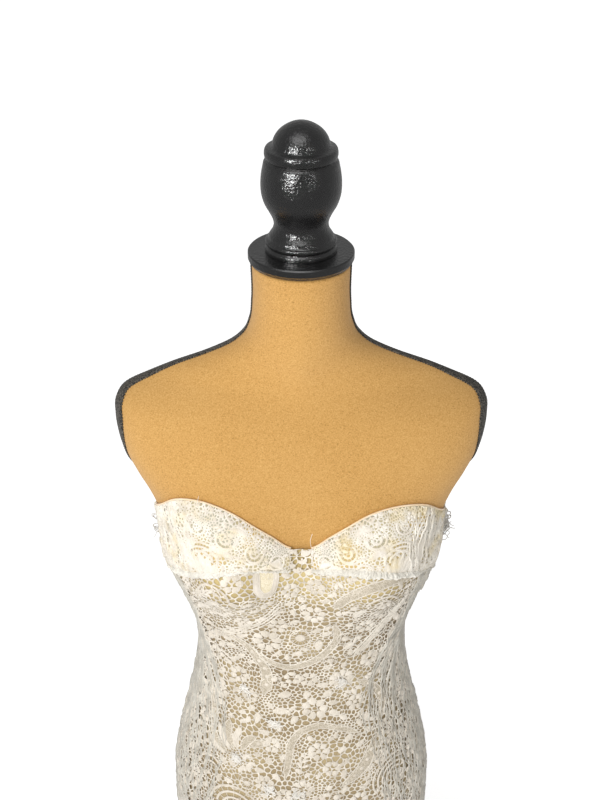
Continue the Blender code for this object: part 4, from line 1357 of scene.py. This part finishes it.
# Strands drawn tight from a point of strain: x, y, where they end
pulls = (
    (
        -124, 64,
        (
            (-62, 98), (-38, 124), (-74, 84), (-60, 66), (-66, 36), (-84, 10), (-96, -16), (-104, -34),
            (-112, -50)
        )
    ),
    (116, -70, ((72, -40), (62, -56), (70, -76), (82, -104), (92, -122), (84, -30))),
    (124, 62, ((84, 112), (96, 128), (78, 92), (90, 38), (82, 14))),
)


def panelDrawing(mirror, bottom, top, mesh, tries):
    draw = LaceDrawing((-300.0, bottom), (300.0, top))
    wide, tall = lace["tileWide"], lace["tileTall"]
    for row in range(3):
        for column in (-1, 0, 1):
            flip = mirror * (-1 if row % 2 else 1)
            draw.repeatAt((column * wide, -row * tall), flip)
            drawRepeat(draw)
    draw.repeatAt((0.0, 0.0), 1)
    draw.scatter(tries, (-290.0, bottom), (290.0, top))
    for x, y, ends in pulls:
        for x1, y1 in ends:
            a = math.radians(rng.uniform(-14, 14))
            middle = ((x + x1) / 2 + 6 * math.sin(a), (y + y1) / 2 + 8 * math.cos(a) * mirror)
            draw.cord(smoothPath(((x, y), middle, (x1, y1)), 2.4), half=0.6, height=1.3)
    draw.knit(mesh, lace["barHalf"])
    return draw


def clothOver(turn, z):
    return (layers["laceBase"] - 0.0003 + ripples(turn, z)) * hug(turn, z) + folds(turn, z)


def straight(x, z):
    return x


dressTones = {
    "net": "yarn", "cords": "cord", "clothwork": "toile", "ground": "sheer", "aged_ground": "agedSheer",
    "loose_thread": "fluff"
}
cupTones = dict(dressTones, net="cupYarn", cords="cupYarn", clothwork="cupToile")


def carryLace(draw, region, word, slot, nodes, tones=dressTones):
    made = []
    for kind, work in (
        ("net", draw.net), ("cords", draw.cords), ("clothwork", draw.toile), ("ground", draw.sheer),
        ("aged_ground", draw.aged), ("loose_thread", draw.fluff),
    ):
        if work.count:
            piece = layOn(f"{word}_{kind}", work, region, mats[tones[kind]])
            if piece:
                made.append(carry(piece, slot, *nodes))
    return made


frontDrawing = panelDrawing(1, -455.0, 300.0, lace["mesh"], 7000)
for x, y, spread, loops in (
    (-77, -92, 6, 26), (-31, -35, 5, 24), (-38, -128, 6, 26), (-5, -134, 6, 26), (-64, 8, 5, 16),
    (46, 24, 5, 18),
):
    frontDrawing.tangle(x, y, spread, loops)
frontRegion = {
    "middle": 0.0, "turns": (-layers["sideTurn"], layers["sideTurn"]), "bottom": below, "top": bustSeam,
    "lift": clothOver, "spread": gathered,
}
frontLace = carryLace(frontDrawing, frontRegion, "lace_front", "lace", ("lace_front",))
frontCrinkles = layOn(
    "lace_front_gathers", crinkleWork((-1, 1), 42, -450.0, 210.0), dict(frontRegion, spread=byTurn),
    mats["gathers"]
)
frontLace.append(carry(frontCrinkles, "lace", "lace_front"))
say("front lace made")


def cupDrawing():
    # Closer lace on the cups: broken eyelet rings under the top edge, fans of leaves, and strands outwards
    draw = LaceDrawing((0.0, 120.0), (235.0, 290.0))
    for x, y, first, rows, start, end in (
        (27, 213, 3.4, 2, 0, 360), (50, 226, 4.2, 2, 200, 420), (76, 240, 4.6, 2, 170, 400),
        (52, 228, 12.0, 1, 190, 330),
        (78, 242, 13.0, 1, 180, 330), (104, 250, 4.0, 2, 150, 380), (92, 218, 5.0, 2, 20, 200),
        (66, 208, 3.6, 2, 0, 300),
        (98, 212, 13.0, 3, 30, 150), (40, 196, 9.0, 2, 20, 150), (126, 244, 4.0, 2, 100, 330),
    ):
        draw.fan(x, y, first, rows, start, end, solid=2.4, gap=2.0, pitch=2.7)
    for x, y, angle, length, width in (
        (96, 200, 100, 22, 6), (98, 200, 82, 24, 6), (100, 200, 64, 22, 6), (102, 200, 46, 20, 6),
        (94, 200, 120, 18, 6),
        (120, 206, 70, 30, 7), (132, 212, 55, 26, 7), (20, 203, 35, 20, 6), (70, 222, 20, 18, 6),
        (56, 244, 20, 18, 6),
    ):
        draw.leaf(x, y, angle, length, width)
    for x, y, radius, petals in (
        (58, 204, 7, 6), (84, 228, 7, 6), (112, 232, 7, 6), (38, 214, 5, 5), (64, 250, 5, 5)
    ):
        draw.flower(x, y, radius, petals, 15, "open")
    draw.scatter(1500, (8.0, 130.0), (230.0, 280.0), 0.55)
    draw.knit(lace["cupMesh"], lace["cupBarHalf"])
    return draw


cupGathers = ((100, 0.170), (170, 0.135), (200, 0.120), (225, 0.118), (250, 0.125), (285, 0.135))


def mirrored(spread, side):
    return lambda x, z: side * spread(x, z)


def overCup(turn, z):
    low = underCup(turn)
    up = np.clip((z - low) / (neckHeight(turn) - low), 0.0, 1.0)
    across = np.clip((fromFront(turn) - cup["start"]) / (cup["end"] - cup["start"]), 0.0, 1.0)
    return cupLift(across, up) - 0.0003 + 0.5 * ripples(turn, z)


def overSide(turn, z):
    # It lies over the face of the binding at the top
    rise = np.clip((z - neckHeight(turn) + 0.003) / 0.003, 0.0, 1.0)
    return (layers["laceBase"] - 0.0002 + ripples(turn, z) + 0.0008 * rise) * hug(turn, z)


def overEdge(turn):
    return neckHeight(turn) + 0.0010


def flipped(work):
    # The same work with its faces turned over, for a mirrored side
    other = FlatWork()
    other.points, other.count = work.points, work.count
    other.faces = {size: [faces[:, ::-1] for faces in sets] for size, sets in work.faces.items()}
    return other


class MirroredDrawing:
    def __init__(self, draw):
        self.net, self.cords, self.toile, self.sheer, self.aged, self.fluff = (
            flipped(work) for work in (draw.net, draw.cords, draw.toile, draw.sheer, draw.aged, draw.fluff)
        )


wingLace = {}
cupLace = cupDrawing()
for word, side, drawing in (("left", 1, cupLace), ("right", -1, MirroredDrawing(cupLace))):
    span = sorted((side * cup["start"], side * cup["end"]))
    region = {
        "middle": 0.0, "turns": span, "bottom": bustSeam, "top": overEdge, "lift": overCup,
        "spread": mirrored(straight, side),
    }
    carryLace(drawing, region, f"cup_lace_{word}", "cup_lace", (f"cup_{word}",), cupTones)
    strands = crinkleWork((side,), 36, 140.0, 285.0, cupGathers)
    strandRegion = dict(region, spread=byTurn)
    carry(layOn(f"cup_gathers_{word}", strands, strandRegion, mats["cupYarn"]), "cup_lace", f"cup_{word}")
    span = sorted((side * 0.2050, side * layers["sideTurn"]))
    region = {
        "middle": 0.0, "turns": span, "bottom": bustSeam, "top": overEdge, "lift": overSide,
        "spread": mirrored(straight, side),
    }
    wingLace[word] = carryLace(drawing, region, f"wing_lace_{word}", "lace", (f"wing_{word}",), cupTones)
    gatheredWing = layOn(f"wing_gathers_{word}", strands, dict(region, spread=byTurn), mats["cupYarn"])
    wingLace[word].append(carry(gatheredWing, "lace", f"wing_{word}"))


def overGore(turn, z):
    return np.maximum(overSide(turn, z), overCup(turn, z) + 0.0004)


goreRegion = dict(frontRegion, turns=(-0.0152, 0.0152), bottom=bustSeam, top=overEdge, lift=overGore)
goreLace = carryLace(frontDrawing, goreRegion, "gore_lace", "lace", ("gore",))
say("cup, wing and gore lace made")
backDrawing = panelDrawing(-1, -455.0, 300.0, lace["backMesh"], 1700)
backRegion = dict(frontRegion, middle=0.5, turns=layers["backTurns"], top=neckHeight)
backLace = carryLace(backDrawing, backRegion, "lace_back", "lace", ("lace_back",))
backCrinkles = layOn(
    "lace_back_gathers", crinkleWork((-1, 1), 18, -450.0, 240.0), dict(backRegion, spread=byTurn),
    mats["gathers"]
)
backLace.append(carry(backCrinkles, "lace", "lace_back"))
say("back lace made")


def thread(points, radius, sides=3):
    # One loose thread as a thin closed tube: points and faces
    path = np.asarray(points, float)
    ahead = np.gradient(path, axis=0)
    ahead /= np.linalg.norm(ahead, axis=1, keepdims=True)
    over = np.cross(ahead, (0.31, 0.52, 0.79))
    over /= np.linalg.norm(over, axis=1, keepdims=True)
    under = np.cross(ahead, over)
    angle = np.arange(sides) / sides * math.tau
    ring = path[:, None] + radius * (
        np.cos(angle)[:, None] * over[:, None] + np.sin(angle)[:, None] * under[:, None]
    )
    return ring.reshape(-1, 3), tubeFaces(len(path), sides)


def threads(name, runs, material):
    points, faceSets, count = [], [], 0
    for run, radius in runs:
        ring, sets = thread(run, radius)
        points.append(ring)
        faceSets += [np.asarray(faces) + count for faces in sets]
        count += len(ring)
    sizes = {}
    for faces in faceSets:
        sizes.setdefault(faces.shape[1], []).append(faces)
    return buildMesh(
        name, np.concatenate(points), [np.concatenate(sets) for sets in sizes.values()], material
    )


# Cut ends of the lace at the side seams: a clump of drooping loops on the left, a few short ones on the right
fringe = {
    "turn": 0.2165,
    "radius": 0.00050,
    # side, top, depth, drooping strands, their length, how far they stand off, free ends, loops
    "left": (1, 0.226, 0.022, 34, 0.017, 0.0085, 6, 3),
    "right": (-1, 0.217, 0.018, 6, 0.008, 0.0030, 2, 6),
}


def makeFringe(word, node):
    side, top, depth, strands, droop, off, ends, loops = fringe[word]
    base = layers["laceBase"] * 0.5
    runs = []
    for _ in range(strands):
        share = rng.uniform(0, 1)
        t = np.linspace(0.0, 1.0, 12)
        length = droop * rng.uniform(0.5, 1.3)
        wave = 0.0016 * np.sin(t * rng.uniform(6, 14) + rng.uniform(0, 6))
        turns = side * (fringe["turn"] + rng.normal(-0.001, 0.006) + wave)
        heights = top - share * depth - length * t
        bulge = off * rng.uniform(0.15, 1.0) * (0.35 + 0.65 * share) * np.sin(
            np.clip(0.12 + t * 0.95, 0, 1) * math.pi
        ) ** 0.7
        bulge = bulge + 0.0007 * np.sin(t * rng.uniform(10, 18) + rng.uniform(0, 6))
        runs.append(
            (
                onFigure(turns, heights, base + 0.0010 + np.maximum(bulge, 0.0)),
                fringe["radius"] * rng.uniform(0.8, 1.3)
            )
        )
    for _ in range(ends):
        share = rng.uniform(0.35, 1.1)
        root = onFigure(
            side * (fringe["turn"] + rng.normal(0.0, 0.003)), top - share * (depth + droop * 0.5),
            base + off * 0.6
        )
        out = np.array([side * 1.0, rng.uniform(-0.3, 0.3), rng.uniform(-0.9, 0.2) - 0.3 * share])
        out /= np.linalg.norm(out)
        t = np.linspace(0.0, 1.0, 9)[:, None]
        curl = np.array([0.0, rng.normal(0, 0.3), rng.normal(-0.3, 0.5)])
        length = rng.uniform(0.004, 0.009)
        path = root + length * (out * t + curl * t**2)
        path[:, 2] += 0.0008 * np.sin(t[:, 0] * rng.uniform(5, 9))
        runs.append((path, fringe["radius"] * rng.uniform(0.7, 1.0)))
    for _ in range(loops):
        z = top - depth * rng.uniform(0.0, 1.1)
        t = np.linspace(0.0, 1.0, 11)
        lifts = base + 0.001 + rng.uniform(0.0035, 0.0075) * np.sin(t * math.pi)
        turns = side * (fringe["turn"] + 0.004 + 0.003 * np.sin(t * 5.0))
        runs.append(
            (
                onFigure(turns, z - rng.uniform(0.002, 0.006) * t, lifts),
                fringe["radius"] * rng.uniform(0.9, 1.3)
            )
        )
    return carry(threads(f"frayed_ends_{word}", runs, mats["frayed"]), "lace", node)


fringeLeft = makeFringe("left", "fringe_left")
fringeRight = makeFringe("right", "fringe_right")

# Two ends of yarn that stand free of the neckline
looseEnds = (
    ((-0.118, 0.2705, 0.006), (-0.1165, 0.2745, 0.0075), (-0.115, 0.2785, 0.0085), (-0.1135, 0.2815, 0.009)),
    ((0.0150, 0.2240, 0.006), (0.0125, 0.2300, 0.0075), (0.0120, 0.2370, 0.0085), (0.0140, 0.2440, 0.0080)),
)
looseRuns = [(onFigure(*smoothPath(end, 0.0015).T), 0.00028) for end in looseEnds]
loose = threads("loose_neckline_ends", looseRuns, mats["fluff"])
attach(loose, "root")
say("frayed ends made")


# Camera, floor and light
stage = {
    "cameraAway": 1.078,
    "cameraHeight": 1.672,
    "tilt": 59.0,
    "lens": 54.0,
    "sensor": 36.0,
    "shift": -0.0015,
    # name, place, aim, size across and up, watts
    "lamps": (
        ("key_softbox", (-0.70, -1.22, 1.50), (-0.02, 0.0, 1.12), (0.32, 0.34), 11.7),
        ("small_softbox", (0.72, -1.35, 1.50), (0.0, 0.0, 1.20), (0.10, 0.10), 1.5),
    ),
    "sun": (-16.0, 56.0, 50.0, 1.0),  # degrees round from the front, degrees up, softness, strength
    "world": "#FFFFFF",
    "worldStrength": 0.28,
    "floorGlow": 0.55,  # stands for the lamps that light the backdrop alone
    "floor": "#FFFFFF",
}


def makeStage():
    scene = bpy.context.scene
    view = bpy.data.objects.new("camera", bpy.data.cameras.new("camera"))
    view.location = (0.0, -stage["cameraAway"], stage["cameraHeight"])
    view.rotation_euler = (math.radians(stage["tilt"]), 0.0, 0.0)
    view.data.lens = stage["lens"]
    view.data.sensor_width = stage["sensor"]
    view.data.shift_x = stage["shift"]
    scene.collection.objects.link(view)
    scene.camera = view
    for name, place, aim, size, power in stage["lamps"]:
        lamp = bpy.data.lights.new(name, "AREA")
        lamp.shape = "ELLIPSE"
        lamp.size, lamp.size_y = size
        lamp.energy = power
        holder = bpy.data.objects.new(name, lamp)
        holder.location = place
        holder.rotation_euler = (Vector(aim) - Vector(place)).to_track_quat("-Z", "Y").to_euler()
        scene.collection.objects.link(holder)
    away, up, softness, strength = stage["sun"]
    sun = bpy.data.lights.new("window_light", "SUN")
    sun.energy = strength
    sun.angle = math.radians(softness)
    holder = bpy.data.objects.new("window_light", sun)
    a, e = math.radians(away), math.radians(up)
    toSun = Vector((math.sin(a) * math.cos(e), -math.cos(a) * math.cos(e), math.sin(e)))
    holder.rotation_euler = toSun.to_track_quat("Z", "Y").to_euler()
    scene.collection.objects.link(holder)
    world = scene.world or bpy.data.worlds.new("studio")
    scene.world = world
    world.use_nodes = True
    background = world.node_tree.nodes.get("Background") or addNode(world.node_tree, "Background")
    background.inputs["Color"].default_value = linearColour(stage["world"])
    background.inputs["Strength"].default_value = stage["worldStrength"]
    scene.view_settings.view_transform = "Standard"
    paper, _, shader = newMaterial("white_paper_sweep", {"Roughness": 0.9, "IOR": 1.45})
    shader.inputs["Base Color"].default_value = linearColour(stage["floor"])
    shader.inputs["Emission Color"].default_value = linearColour(stage["floor"])
    shader.inputs["Emission Strength"].default_value = stage["floorGlow"]
    ground = buildMesh(
        "floor", [(-30, -30, 0), (30, -30, 0), (30, 30, 0), (-30, 30, 0)], [[[0, 1, 2, 3]]], paper,
        smooth=False
    )
    ground.visible_glossy = False  # dark studio floor to the varnish, as where only the backdrop is lit


makeStage()
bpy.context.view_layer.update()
say("scene ready")
